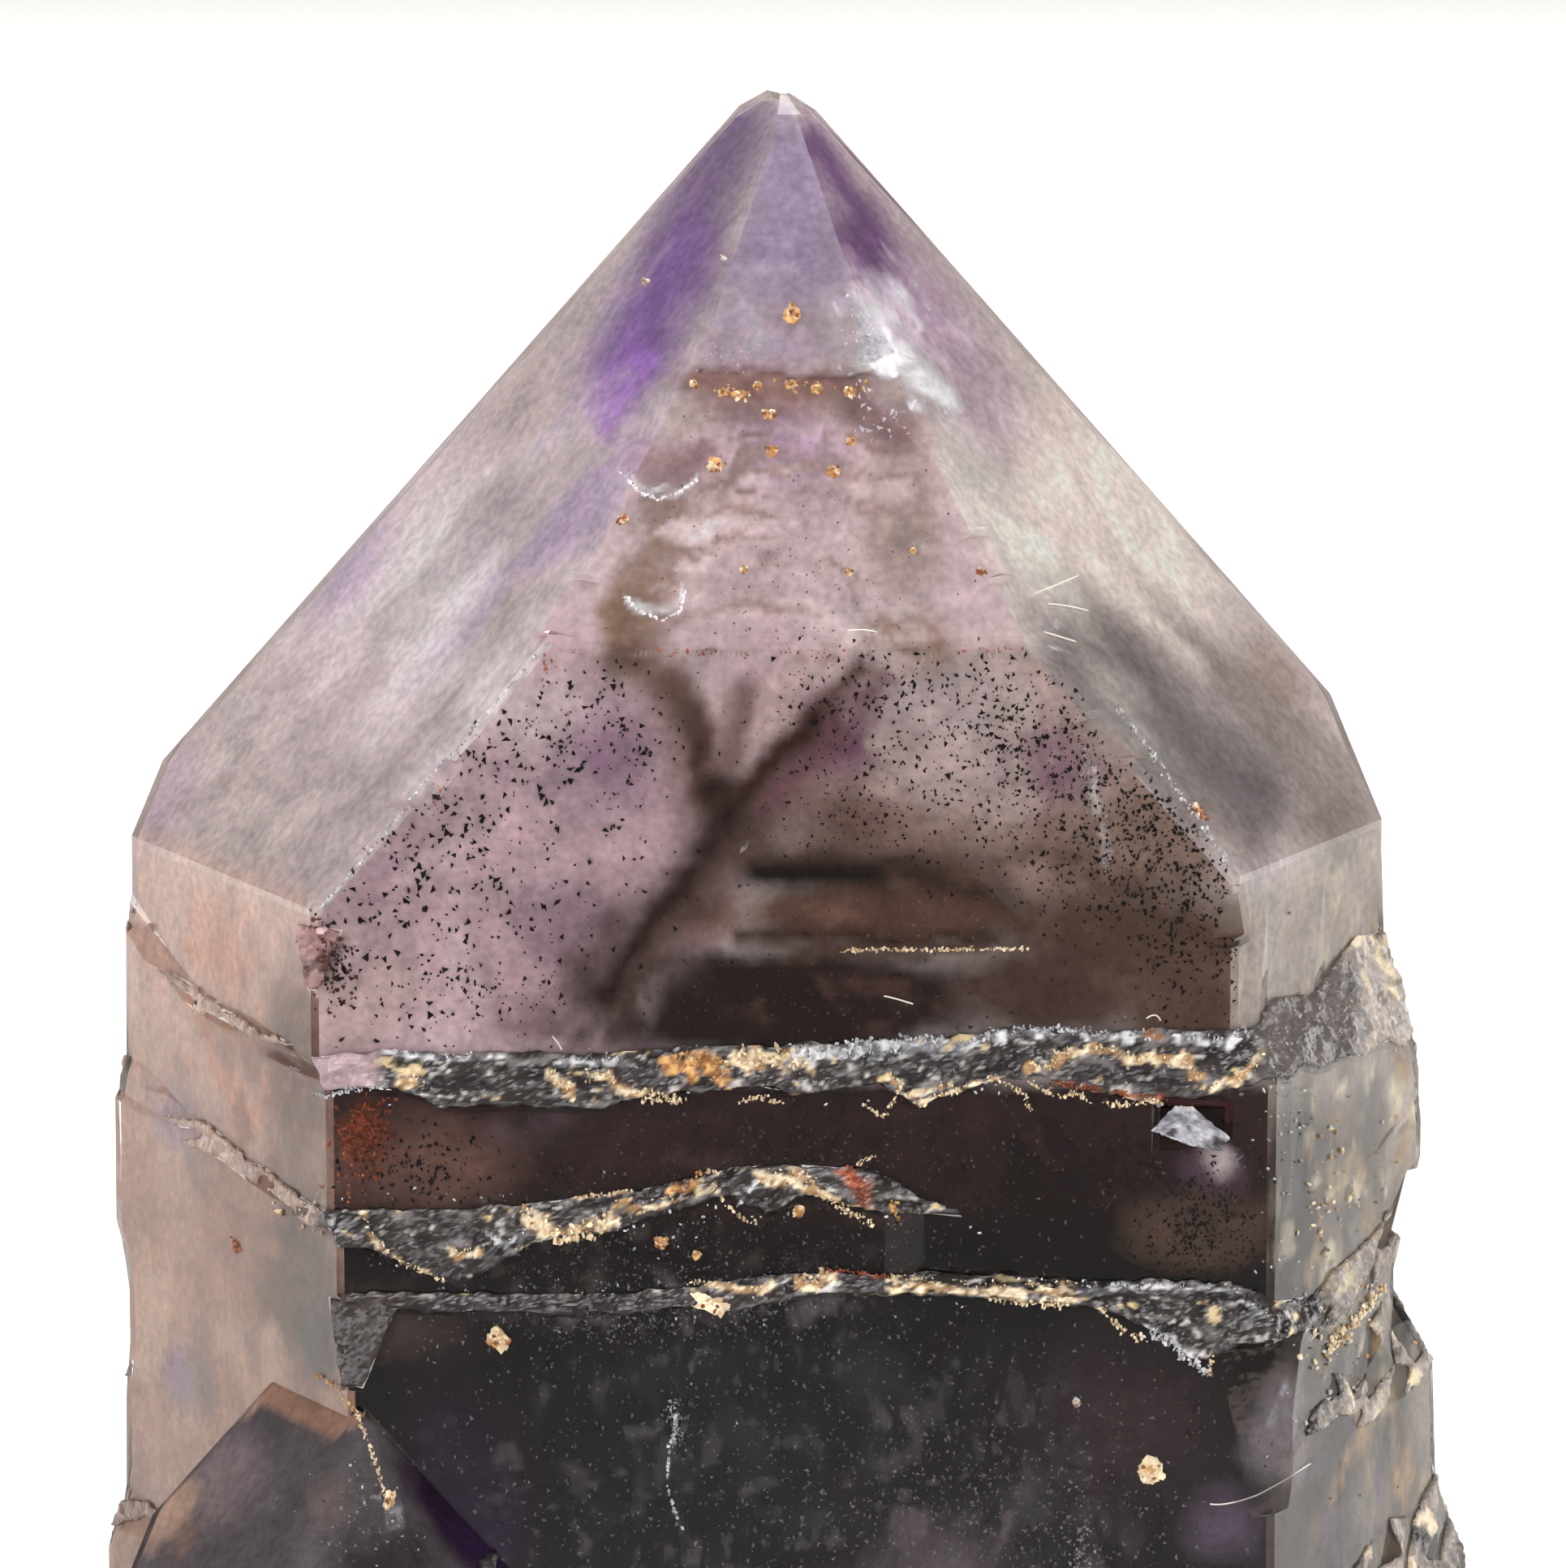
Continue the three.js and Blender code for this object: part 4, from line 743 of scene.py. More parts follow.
def apply_modifier(piece, kind, **settings):
    """Gives the active piece a modifier with these settings and applies it."""
    modifier = piece.modifiers.new(kind.lower(), kind)
    for setting, value in settings.items():
        setattr(modifier, setting, value)
    bpy.ops.object.modifier_apply(modifier=modifier.name)


def copy_of_crystal(name):
    """A copy of the crystal's solid with its loose triangles merged into one skin."""
    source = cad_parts[NODE]
    piece = source.copy()
    piece.data = source.data.copy()
    piece.name = name
    piece.data.name = name
    piece.parent = None
    piece.data.materials.clear()
    bpy.context.collection.objects.link(piece)
    piece.hide_render = False
    piece.hide_viewport = False
    piece.hide_set(False)
    activate(piece)
    with edit_mode():
        bpy.ops.mesh.select_all(action="SELECT")
        bpy.ops.mesh.remove_doubles(threshold=0.002 * MM)
        bpy.ops.mesh.normals_make_consistent(inside=False)
    piece.data.shade_flat()
    return piece


def phantom_block(name, inset, foot, tip):
    """A plain six-sided point, cut from a block by planes parallel to the crystal's faces."""
    deselect_all()
    middle = foot * MM + BLOCK_SIDE / 2 * MM
    bpy.ops.mesh.primitive_cube_add(size=BLOCK_SIDE * MM, location=(0, 0, middle))
    block = bpy.context.object
    block.name = name
    bpy.ops.object.transform_apply(location=True, rotation=False, scale=False)
    with edit_mode():
        for face, distance in enumerate(FACE_REACH):
            azimuth = math.radians(60 * face)
            outwards = Vector((math.sin(azimuth), -math.cos(azimuth), 0))
            upwards = (outwards * PYRAMID_DROP + Vector((0, 0, 1))).normalized()
            cuts = ((outwards * (distance - inset) * MM, outwards), (Vector((0, 0, tip * MM)), upwards))
            for point, normal in cuts:
                bpy.ops.mesh.select_all(action="SELECT")
                bpy.ops.mesh.bisect(plane_co=point, plane_no=normal, use_fill=True, clear_outer=True)
    block.data.shade_flat()
    return block


def place_on_body(piece, casts_shadow=True):
    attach(piece, BODY)
    piece.visible_shadow = casts_shadow


def keep_in_box(piece):
    """Presses the corners that stick out of the crystal's own box back onto it."""
    for vertex in piece.data.vertices:
        for axis in range(3):
            vertex.co[axis] = min(max(vertex.co[axis], CAD_LOW[axis]), CAD_HIGH[axis])


def crystal_tree():
    """The crystal's solid as a tree that lines can be shot at."""
    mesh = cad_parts[NODE].data
    corners = [vertex.co.copy() for vertex in mesh.vertices]
    return BVHTree.FromPolygons(corners, [tuple(polygon.vertices) for polygon in mesh.polygons])


def touch(tree, x, z):
    """Where a line from the front meets the crystal, and which way the face looks there."""
    place, normal, _, _ = tree.ray_cast(Vector((x * MM, SHOT_FROM, z * MM)), Vector((0, 1, 0)))
    if place is None:
        return None, None
    return place, -normal if normal.y > 0 else normal


def touch_or_stop(tree, x, z, what):
    """What touch gives, or an error where the line misses the crystal."""
    place, normal = touch(tree, x, z)
    if place is None:
        raise RuntimeError(f"{what} misses the crystal")
    return place, normal


def scatter(name, template, spots, chance, material, casts_shadow=True):
    """One mesh of many irregular copies of a small shape. Each spot is a place, a turn, three sizes in metres
    and a colour."""
    shape = [vertex.co.copy() for vertex in template.data.vertices]
    sides = [tuple(polygon.vertices) for polygon in template.data.polygons]
    bpy.data.objects.remove(template)
    corners, faces, colours = [], [], []
    for place, turn, sizes, colour in spots:
        first = len(corners)
        for corner in shape:
            stretched = Vector(part * size for part, size in zip(corner, sizes)) * chance.uniform(0.65, 1.25)
            corners.append(place + turn @ stretched)
            colours.append((*colour, 1))
        faces.extend(tuple(first + index for index in side) for side in sides)
    mesh = bpy.data.meshes.new(name)
    mesh.from_pydata(corners, [], faces)
    store_paint(mesh, colours)
    piece = bpy.data.objects.new(name, mesh)
    bpy.context.collection.objects.link(piece)
    keep_in_box(piece)
    mesh.materials.append(material)
    place_on_body(piece, casts_shadow)


def shard_shape():
    deselect_all()
    bpy.ops.mesh.primitive_cone_add(vertices=3, radius1=0.5, radius2=0.0, depth=0.9)
    return bpy.context.object


def crumb_shape():
    deselect_all()
    bpy.ops.mesh.primitive_ico_sphere_add(subdivisions=1, radius=0.5)
    return bpy.context.object


def shard_sizes(length, chance):
    """The three sizes of a flat shard of this length."""
    return length, length * chance.uniform(0.4, 0.9), length * 0.4


def any_turn(chance):
    return Euler([chance.uniform(0, 2 * math.pi) for _ in range(3)]).to_matrix()


def face_turn(normal, *angles):
    """A turn whose third axis looks out of the face, turned further by three angles in radians."""
    return normal.to_track_quat("Z", "Y").to_matrix() @ Euler(angles).to_matrix()


def between(first, second, share):
    """The colour that is this share of the way from the first to the second."""
    return [start + (end - start) * share for start, end in zip(first, second)]


def read_numbers(items, what, width):
    """The named numbers of a mesh's parts as an array with one row for each part."""
    numbers = np.empty(len(items) * width)
    items.foreach_get(what, numbers)
    return numbers.reshape(-1, width)


def refine(piece, longest):
    """Halves the edges of a piece that are longer than is allowed at their middle, in millimetres."""
    activate(piece)
    bpy.context.tool_settings.mesh_select_mode = (False, True, False)
    mesh = piece.data
    for _ in range(MOST_HALVINGS):
        corners = read_numbers(mesh.vertices, "co", 3) / MM
        ends = np.empty(len(mesh.edges) * 2, dtype=np.int32)
        mesh.edges.foreach_get("vertices", ends)
        first, last = corners[ends[::2]], corners[ends[1::2]]
        too_long = np.linalg.norm(last - first, axis=1) > longest((first + last) / 2)
        if not too_long.any():
            break
        mesh.vertices.foreach_set("select", np.zeros(len(mesh.vertices), dtype=bool))
        mesh.polygons.foreach_set("select", np.zeros(len(mesh.polygons), dtype=bool))
        mesh.edges.foreach_set("select", too_long)
        with edit_mode():
            bpy.ops.mesh.subdivide(number_cuts=1)
            bpy.ops.mesh.select_all(action="SELECT")
            bpy.ops.mesh.quads_convert_to_tris()


def broken_noise(places, octaves=4):
    """Irregular noise at each place, with a middle of 0 and a usual swing of 1."""
    return np.array([noise.fractal(place, 1.0, 2.0, octaves) for place in places.tolist()]) / USUAL_SWING


def smooth_step(values, low, high):
    share = np.clip((values - low) / (high - low), 0, 1)
    return share * share * (3 - 2 * share)


def away_from_line(places, start, end):
    """How far each place lies from a line seen from the front, and which share of the line it is beside."""
    first, along = np.array(start), np.subtract(end, start)
    offset = places[:, ::2] - first
    share = np.clip(offset @ along / (along @ along), 0, 1)
    return np.linalg.norm(offset - share[:, None] * along, axis=1), share


class Paint:
    """Lays colour and density on the corners of a mesh from soft clouds, flat zones, strokes and mists."""

    def __init__(self, piece, colour, density=1.0, brightness=1.0):
        self.mesh = piece.data
        self.brightness = brightness
        self.exact = read_numbers(self.mesh.vertices, "co", 3) / MM
        noise.seed_set(NOISE_SEED)
        self.near = self.exact + self.ripple(1.1, 0.2) + self.ripple(0.4, 0.1)
        self.place = self.near + self.ripple(3.6, 0.75)
        normals = read_numbers(self.mesh.vertex_normals, "vector", 3)
        azimuth = np.degrees(np.arctan2(normals[:, 0], -normals[:, 1]))
        self.sides = {"all": np.ones(len(azimuth)), "front": (abs(azimuth) < 40) * 1.0,
                      "left": ((azimuth <= -30) & (azimuth > -120)) * 1.0,
                      "right": ((azimuth >= 30) & (azimuth < 120)) * 1.0}
        self.colour = np.tile(self.seen(colour), (len(self.exact), 1))
        self.density = np.full(len(self.exact), density)

    def ripple(self, size, strength):
        """A wavy shift of each corner, in millimetres."""
        places = (self.exact / size).tolist()
        return np.array([tuple(noise.noise_vector(place)) for place in places]) * strength

    def seen(self, display):
        return np.minimum(np.array(linear(display)) * self.brightness, BRIGHTEST)

    def lay(self, share, colour, density):
        self.colour += share[:, None] * (self.seen(colour) - self.colour)
        self.density += share * (density - self.density)

    def cloud_share(self, centre, radii, core):
        places = self.near if min(radii) < 2 else self.place
        away = np.linalg.norm((places - centre) / np.array(radii), axis=1)
        return 1 - smooth_step(away, core, 1.0)

    def cloud(self, centre, radii, colour, density, core=0.0, side="all"):
        self.lay(self.cloud_share(centre, radii, core) * self.sides[side], colour, density)

    def zone(self, centre, half, soft, colour, density, side="front"):
        away = (abs(self.exact - centre) - half) / soft
        self.lay((1 - smooth_step(away.max(axis=1), 0.0, 1.0)) * self.sides[side], colour, density)

    def side_crystal(self, colour, density):
        """Lays one colour on the side crystal, which is all that stands out from the main crystal's faces."""
        x, y, z = self.exact.T
        before_front = -y - SIDE_FRONT_REACH
        before_left = np.where(y < -3, -0.866 * x - 0.5 * y - SIDE_LEFT_REACH, -1)
        out = np.maximum(before_front, before_left)
        self.lay(smooth_step(out, 0.0, 0.12) * ((x < SIDE_CRYSTAL_RIGHT) & (z < 30.5)), colour, density)

    def stroke(self, start, end, start_width, end_width, colour, density, side="all"):
        """A soft line as seen from the front, on the faces that look forwards."""
        away, share = away_from_line(self.near, start, end)
        width = start_width + (end_width - start_width) * share
        inside = 1 - smooth_step(away / width, 0.1, 1.9)
        self.lay(inside * (self.exact[:, 1] < 1) * self.sides[side], colour, density)

    def crust(self, start, end, half, dark, light):
        """A broken crust along a rim as seen from the front, mixed from a dark and a light colour."""
        away = away_from_line(self.exact, start, end)[0] / half
        inside = (away < 2) & (self.exact[:, 1] < -1)
        if inside.any():
            places = self.exact[inside]
            cover = np.zeros(len(away))
            cover[inside] = smooth_step(broken_noise(places * 3) * 0.5 + 1 - away[inside], -0.1, 0.3)
            self.lay(cover, dark, 1.0)
            cover[inside] *= smooth_step(broken_noise(places * 4 + 9), -0.4, 0.8)
            self.lay(cover, light, 1.0)

    def mist(self, centre, radii, colour, density, fineness, low, high, runs_down=False, side="all"):
        """A cloud broken by noise, whose grain can run down the slopes."""
        where = self.cloud_share(centre, radii, 0.5) * self.sides[side]
        inside = where > 0
        place = self.place[inside]
        if runs_down:
            x, y, z = abs(place[:, 0]), place[:, 1], place[:, 2]
            across = SLOPE_COSINE * x + SLOPE_SINE * z
            along = SLOPE_SINE * x - SLOPE_COSINE * z
            place = np.stack((across, y, along), axis=1)
        grain = broken_noise(place * fineness + np.array(centre) * 3)
        share = np.zeros(len(where))
        share[inside] = smooth_step(grain, low, high)
        self.lay(share * where, colour, density)

    def mottle(self, fineness, strength):
        """Lightens and darkens the colour in irregular patches."""
        grain = np.clip(broken_noise(self.place * fineness, 5), -2, 2)
        self.colour = np.clip(self.colour * (1 + strength * grain)[:, None], 0.0, BRIGHTEST)

    def keep(self):
        """Stores the colours and densities with the mesh."""
        store_paint(self.mesh, np.column_stack((self.colour, self.density)))


def store_paint(mesh, colours):
    paint = mesh.color_attributes.new(name="paint", type="FLOAT_COLOR", domain="POINT")
    paint.data.foreach_set("color", np.asarray(colours, dtype=np.float32).ravel())


def new_material(name):
    material = bpy.data.materials.new(name)
    material.use_nodes = True
    nodes = material.node_tree.nodes
    return material, nodes, material.node_tree.links, nodes["Principled BSDF"]


def set_inputs(node, settings):
    """Sets a node's inputs from their names and values."""
    for name, value in settings.items():
        node.inputs[name].default_value = value


def remap(nodes, links, value, low, high, at_low, at_high, interpolation="LINEAR"):
    """A shader value moved from the range between low and high to the range between at_low and at_high."""
    node = nodes.new("ShaderNodeMapRange")
    node.interpolation_type = interpolation
    set_inputs(node, {"From Min": low, "From Max": high, "To Min": at_low, "To Max": at_high})
    links.new(value, node.inputs["Value"])
    return node.outputs["Result"]


def multiply(nodes, links, first, second):
    """The product of two shader values."""
    node = nodes.new("ShaderNodeMath")
    node.operation = "MULTIPLY"
    links.new(first, node.inputs[0])
    links.new(second, node.inputs[1])
    return node.outputs["Value"]


def painted_material(name, grain=0.0, fineness=6.0, roughness=0.6, specular=0.0, broken=False):
    """A material that takes its colour and density from the mesh, with a fine grain laid over."""
    material, nodes, links, shader = new_material(name)
    set_inputs(shader, {"Roughness": roughness, "Specular IOR Level": specular})
    paint = nodes.new("ShaderNodeVertexColor")
    paint.layer_name = "paint"
    colour, density = paint.outputs["Color"], paint.outputs["Alpha"]
    if broken or grain:
        texture = nodes.new("ShaderNodeTexNoise")
        set_inputs(texture, {"Scale": fineness / MM, "Detail": 2.0})
        links.new(nodes.new("ShaderNodeTexCoord").outputs["Object"], texture.inputs["Vector"])
    if broken:
        cover = remap(nodes, links, texture.outputs["Fac"], 0.42, 0.6, 0.0, 1.0)
        density = multiply(nodes, links, density, cover)
    elif grain:
        scaled = nodes.new("ShaderNodeVectorMath")
        scaled.operation = "SCALE"
        links.new(colour, scaled.inputs[0])
        shade = remap(nodes, links, texture.outputs["Fac"], 0.3, 0.7, 1 - grain, 1 + grain)
        links.new(shade, scaled.inputs["Scale"])
        colour = scaled.outputs["Vector"]
    links.new(colour, shader.inputs["Base Color"])
    links.new(density, shader.inputs["Alpha"])
    return material


class STAGE_OT_build(bpy.types.Operator):
    """Lays the pale floor, sets the soft lights and the camera"""
    bl_idname = "quartz.stage"
    bl_label = "Floor, light and camera"

    def execute(self, context):
        settings = context.scene.quartz_stage
        deselect_all()
        bpy.ops.mesh.primitive_plane_add(size=settings.floor_size, location=(0, 0, 0))
        floor = context.object
        floor.name = "pale_floor"
        material, _, _, shader = new_material("pale floor")
        colour = (*settings.floor_colour, 1)
        set_inputs(shader, {"Base Color": colour, "Roughness": 0.9, "Specular IOR Level": 0.0})
        floor.data.materials.append(material)
        self.set_world(settings)
        self.set_light(settings)
        self.set_camera(context)
        return {"FINISHED"}

    def set_world(self, settings):
        """A white room, bright low down all round and dim overhead, so that the front faces mirror little."""
        world = bpy.data.worlds.new("white room")
        bpy.context.scene.world = world
        world.use_nodes = True
        nodes, links = world.node_tree.nodes, world.node_tree.links
        background = nodes["Background"]
        background.inputs["Strength"].default_value = settings.room_light
        split = nodes.new("ShaderNodeSeparateXYZ")
        links.new(nodes.new("ShaderNodeTexCoord").outputs["Generated"], split.inputs["Vector"])
        by_depth = remap(nodes, links, split.outputs["Y"], *LIGHT_BY_DEPTH, "SMOOTHSTEP")
        by_height = remap(nodes, links, split.outputs["Z"], *LIGHT_BY_HEIGHT, "SMOOTHSTEP")
        links.new(multiply(nodes, links, by_depth, by_height), background.inputs["Color"])

    def set_light(self, settings):
        key = bpy.data.lights.new("soft_top", "AREA")
        key.energy = settings.top_light
        key.shape = "RECTANGLE"
        key.size = key.size_y = TOP_LIGHT_SIDE
        key.spread = math.radians(TOP_LIGHT_SPREAD)
        lamp = bpy.data.objects.new("soft_top", key)
        lamp.location = TOP_LIGHT_PLACE
        bpy.context.collection.objects.link(lamp)

    def set_camera(self, context):
        rise = math.radians(CAMERA_RISE)
        back = Vector((0, -math.cos(rise), math.sin(rise)))
        lens = bpy.data.cameras.new("camera")
        lens.lens = CAMERA_LENS
        lens.sensor_width = 36.0
        lens.clip_start = 0.01
        camera = bpy.data.objects.new("camera", lens)
        camera.location = (Vector(CAMERA_AIM) + back * CAMERA_DISTANCE) * MM
        camera.rotation_euler = (-back).to_track_quat("-Z", "Y").to_euler()
        context.collection.objects.link(camera)
        context.scene.camera = camera


class CLEAR_OT_build(bpy.types.Operator):
    """Makes the clear outer quartz from the crystal's solid"""
    bl_idname = "quartz.clear"
    bl_label = "Clear quartz"

    def execute(self, context):
        settings = context.scene.quartz_look
        skin = copy_of_crystal("clear_quartz")
        material, nodes, links, shader = new_material("clear quartz")
        set_inputs(shader, {"Base Color": (1, 1, 1, 1), "Transmission Weight": 1.0,
                            "IOR": settings.refraction, "Roughness": 0.02})
        soak = nodes.new("ShaderNodeVolumeAbsorption")
        set_inputs(soak, {"Color": (*settings.tint, 1), "Density": settings.absorption})
        links.new(soak.outputs["Volume"], nodes["Material Output"].inputs["Volume"])
        material.cycles.homogeneous_volume = True
        material.cycles.volume_sampling = "DISTANCE"
        skin.data.materials.append(material)
        place_on_body(skin)
        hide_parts(NODE)
        return {"FINISHED"}


class HAZE_OT_build(bpy.types.Operator):
    """Makes the milky and violet haze just under the crystal's faces"""
    bl_idname = "quartz.haze"
    bl_label = "Outer haze"

    def execute(self, context):
        settings = context.scene.quartz_look
        haze = copy_of_crystal("outer_haze")
        with edit_mode():
            bpy.ops.mesh.select_all(action="SELECT")
            bpy.ops.transform.resize(value=HAZE_SHRINK, center_override=(0, 0, 0))
            bpy.ops.transform.translate(value=(0, 0, HAZE_LIFT * MM))
        refine(haze, self.longest_edge)
        apply_modifier(haze, "EDGE_SPLIT", split_angle=math.radians(20))
        paint = Paint(haze, HAZE_COLOUR, HAZE_DENSITY, settings.haze_brightness)
        for _, side, height, soft, colour in FACE_COLOURS:
            half = (WHOLE, WHOLE, height / 2)
            paint.zone((0, 0, height / 2), half, (1, 1, soft), colour, FACE_DENSITY, side)
        for side, clouds in OUTER_CLOUDS.items():
            for _, centre, radii, colour, density, core in clouds:
                paint.cloud(centre, radii, colour, density, core, side)
        for _, *stroke in OUTER_STROKES:
            paint.stroke(*stroke)
        for _, side, *stroke in SLOPE_STROKES:
            paint.stroke(*stroke, side)
        for _, *zone in OUTER_BLOCKS:
            paint.zone(*zone)
        paint.side_crystal(SIDE_CRYSTAL_COLOUR, SIDE_CRYSTAL_DENSITY)
        for _, *cloud in LOWER_CLOUDS:
            paint.cloud(*cloud)
        for mists, runs_down in ((SLOPE_MISTS, True), (OUTER_MISTS, False)):
            for _, side, *mist in mists:
                paint.mist(*mist, runs_down, side)
        paint.mottle(0.8, 0.07)
        paint.mottle(2.2, 0.05)
        paint.keep()
        haze.data.materials.append(painted_material("outer haze", grain=0.16, fineness=5.0))
        place_on_body(haze, casts_shadow=False)
        return {"FINISHED"}

    def longest_edge(self, places):
        """Fine edges on the front, finest where thin lines are painted, and coarse ones behind and low."""
        x, y, z = places.T
        in_sight = (y < -0.5) & (z > 22)
        front_faces = (abs(x) < 10.8) & (y < -6.8) & (z > 23)
        fine_lines = (abs(x) < 4.5) & (y < -2.5) & (z > 45) & (z < 51.5)
        return np.select([fine_lines, front_faces, in_sight], [0.18, 0.25, 0.46], 1.4)


class HEART_OT_build(bpy.types.Operator):
    """Makes the dark smoky phantom deep in the crystal"""
    bl_idname = "quartz.heart"
    bl_label = "Smoky phantom"

    def execute(self, context):
        settings = context.scene.quartz_look
        heart = phantom_block("smoky_heart", HEART_INSET, HEART_FOOT, HEART_TIP)
        with edit_mode():
            bpy.ops.mesh.select_all(action="SELECT")
            bpy.ops.mesh.quads_convert_to_tris()
        refine(heart, lambda places: np.full(len(places), HEART_EDGE))
        paint = Paint(heart, HEART_COLOUR, 1.0, settings.haze_brightness)
        for _, *cloud in HEART_CLOUDS:
            paint.cloud(*cloud)
        paint.mottle(0.5, 0.2)
        paint.keep()
        heart.data.materials.append(painted_material("smoky heart", grain=0.3, fineness=1.2))
        place_on_body(heart, casts_shadow=False)
        return {"FINISHED"}


class SPECKS_OT_build(bpy.types.Operator):
    """Scatters the black specks and the finer grains just under the front faces"""
    bl_idname = "quartz.specks"
    bl_label = "Black specks"

    def execute(self, context):
        chance = random.Random(context.scene.quartz_residue.seed)
        tree = crystal_tree()
        spots = []
        for (x, z), (wide, high), count, longest in SPECK_CLUSTERS:
            for _ in range(round(count * SPECK_SURPLUS)):
                place, normal = touch(tree, chance.gauss(x, wide), chance.gauss(z, high))
                if place is None or normal.y > FACES_FRONT or abs(normal.x) > SPECK_LEAN:
                    continue
                length = longest * SPECK_STRETCH * chance.uniform(0.35, 1.0) ** 1.4 * MM
                sizes = shard_sizes(length, chance)
                inside = place - normal * SPECK_DEPTH * MM
                spots.append((inside, any_turn(chance), sizes, linear(SPECK_COLOUR)))
        material = painted_material("black specks")
        scatter("black_specks", shard_shape(), spots, chance, material, casts_shadow=False)
        self.add_grains(tree, chance)
        return {"FINISHED"}

    def add_grains(self, tree, chance):
        """Milky, rusty and white grains, at depths round that of the black specks."""
        spots = []
        for _, light, dark, (x, z), (wide, high), count, longest in GRAINS:
            for _ in range(count):
                place, normal = touch(tree, chance.gauss(x, wide), chance.gauss(z, high))
                if place is None or normal.y > FACES_FRONT:
                    continue
                sizes = shard_sizes(longest * chance.uniform(0.3, 1.0) ** 1.6 * MM, chance)
                shade = between(linear(light), linear(dark), chance.random())
                place -= normal * chance.uniform(*GRAIN_DEPTHS) * MM
                spots.append((place, any_turn(chance), sizes, shade))
        material = painted_material("fine grains")
        scatter("fine_grains", shard_shape(), spots, chance, material, casts_shadow=False)


class RIND_OT_build(bpy.types.Operator):
    """Makes the rough rind on the growth ledges, grey partly from a painted reflection, with painted
    highlights
    """
    bl_idname = "quartz.rind"
    bl_label = "Ledge rind"

    def execute(self, context):
        settings = context.scene.quartz_residue
        material = painted_material("ledge rind", 0.2, 4.0, 0.35, 0.5)
        self.build(settings, "ledge_rind_front", settings.rind_grain, lambda middle: middle.y < 0, material)
        coarse = settings.rind_grain * 2
        self.build(settings, "ledge_rind_back", coarse, lambda middle: middle.y >= 0, material)
        return {"FINISHED"}

    def build(self, settings, name, voxel, is_here, material):
        """The rind on one side of the crystal, made of grains of one size."""
        rind = copy_of_crystal(name)
        bpy.context.tool_settings.mesh_select_mode = (False, False, True)
        with edit_mode():
            bpy.ops.mesh.select_all(action="DESELECT")
        for polygon in rind.data.polygons:
            middle = polygon.center / MM
            polygon.select = not (is_here(middle) and self.is_ledge(middle, polygon.normal))
        with edit_mode():
            bpy.ops.mesh.delete(type="FACE")
        relief = bpy.data.textures.new("rind_relief", "CLOUDS")
        relief.noise_scale = RELIEF_SCALE * MM
        relief.noise_depth = 3
        apply_modifier(rind, "SOLIDIFY", thickness=RIND_THICKNESS * MM, offset=0.0)
        apply_modifier(rind, "REMESH", mode="VOXEL", voxel_size=voxel)
        strength = settings.rind_relief
        apply_modifier(rind, "DISPLACE", texture=relief, texture_coords="LOCAL", strength=strength)
        keep_in_box(rind)
        rind.data.shade_flat()
        self.paint(rind)
        rind.data.materials.append(material)
        place_on_body(rind)

    def paint(self, rind):
        """Lays the rind's colours with their painted reflection and highlights, then the residue along its
        rims, then what is paler or duller, and painted shade on the left ledges.
        """
        paint = Paint(rind, RIND_COLOUR)
        for _, colour, fineness, low, high in RIND_MISTS:
            paint.mist((0, 0, 20), (60, 60, 60), colour, 1.0, fineness, low, high)
        for _, kind, half, way in RIMS:
            light, dark = CRUMB_COLOURS[kind]
            for start, end in zip(way, way[1:]):
                paint.crust(start, end, half * 0.9, dark, light)
        for centre, radii in RIGHT_RIND_PARTS:
            for _, colour, fineness, low, high in RIGHT_RIND_MISTS:
                paint.mist(centre, radii, colour, 1.0, (fineness, fineness, fineness), low, high)
        for _, centre, half, soft, colour in RIND_ZONES:
            paint.zone(centre, half, soft, colour, 1.0, "all")
        for _, place, reach, colour in DULL_FACETS:
            paint.zone(place, (reach * 0.8, reach, reach), (0.2, 0.2, 0.2), colour, 1.0, "all")
        paint.mist(*RUSTY_ARRIS, (70, 30, 24), 1.0, (3.2, 3.2, 3.2), -1.0, 0.2)
        paint.mottle(1.2, 0.12)
        paint.keep()

    def is_ledge(self, middle, normal):
        """Whether a face is rough: a ledge or a dull facet, but not the bright chip or the side crystal."""
        low, high = LEDGE_HEIGHTS
        for _, place, reach, _ in DULL_FACETS:
            if -0.6 < normal.x < -0.3 and (middle - Vector(place)).length < reach:
                return True
        if middle.x > 8.2 and middle.y < -8.2 and 34.0 < middle.z < 35.2:
            return False
        if middle.x < SIDE_CRYSTAL_RIGHT and middle.y < -3 and middle.z < 30.6:
            return False
        return normal.z > LEDGE_LEAN and low < middle.z < high and middle.y > SIDE_CRYSTAL_FRONT


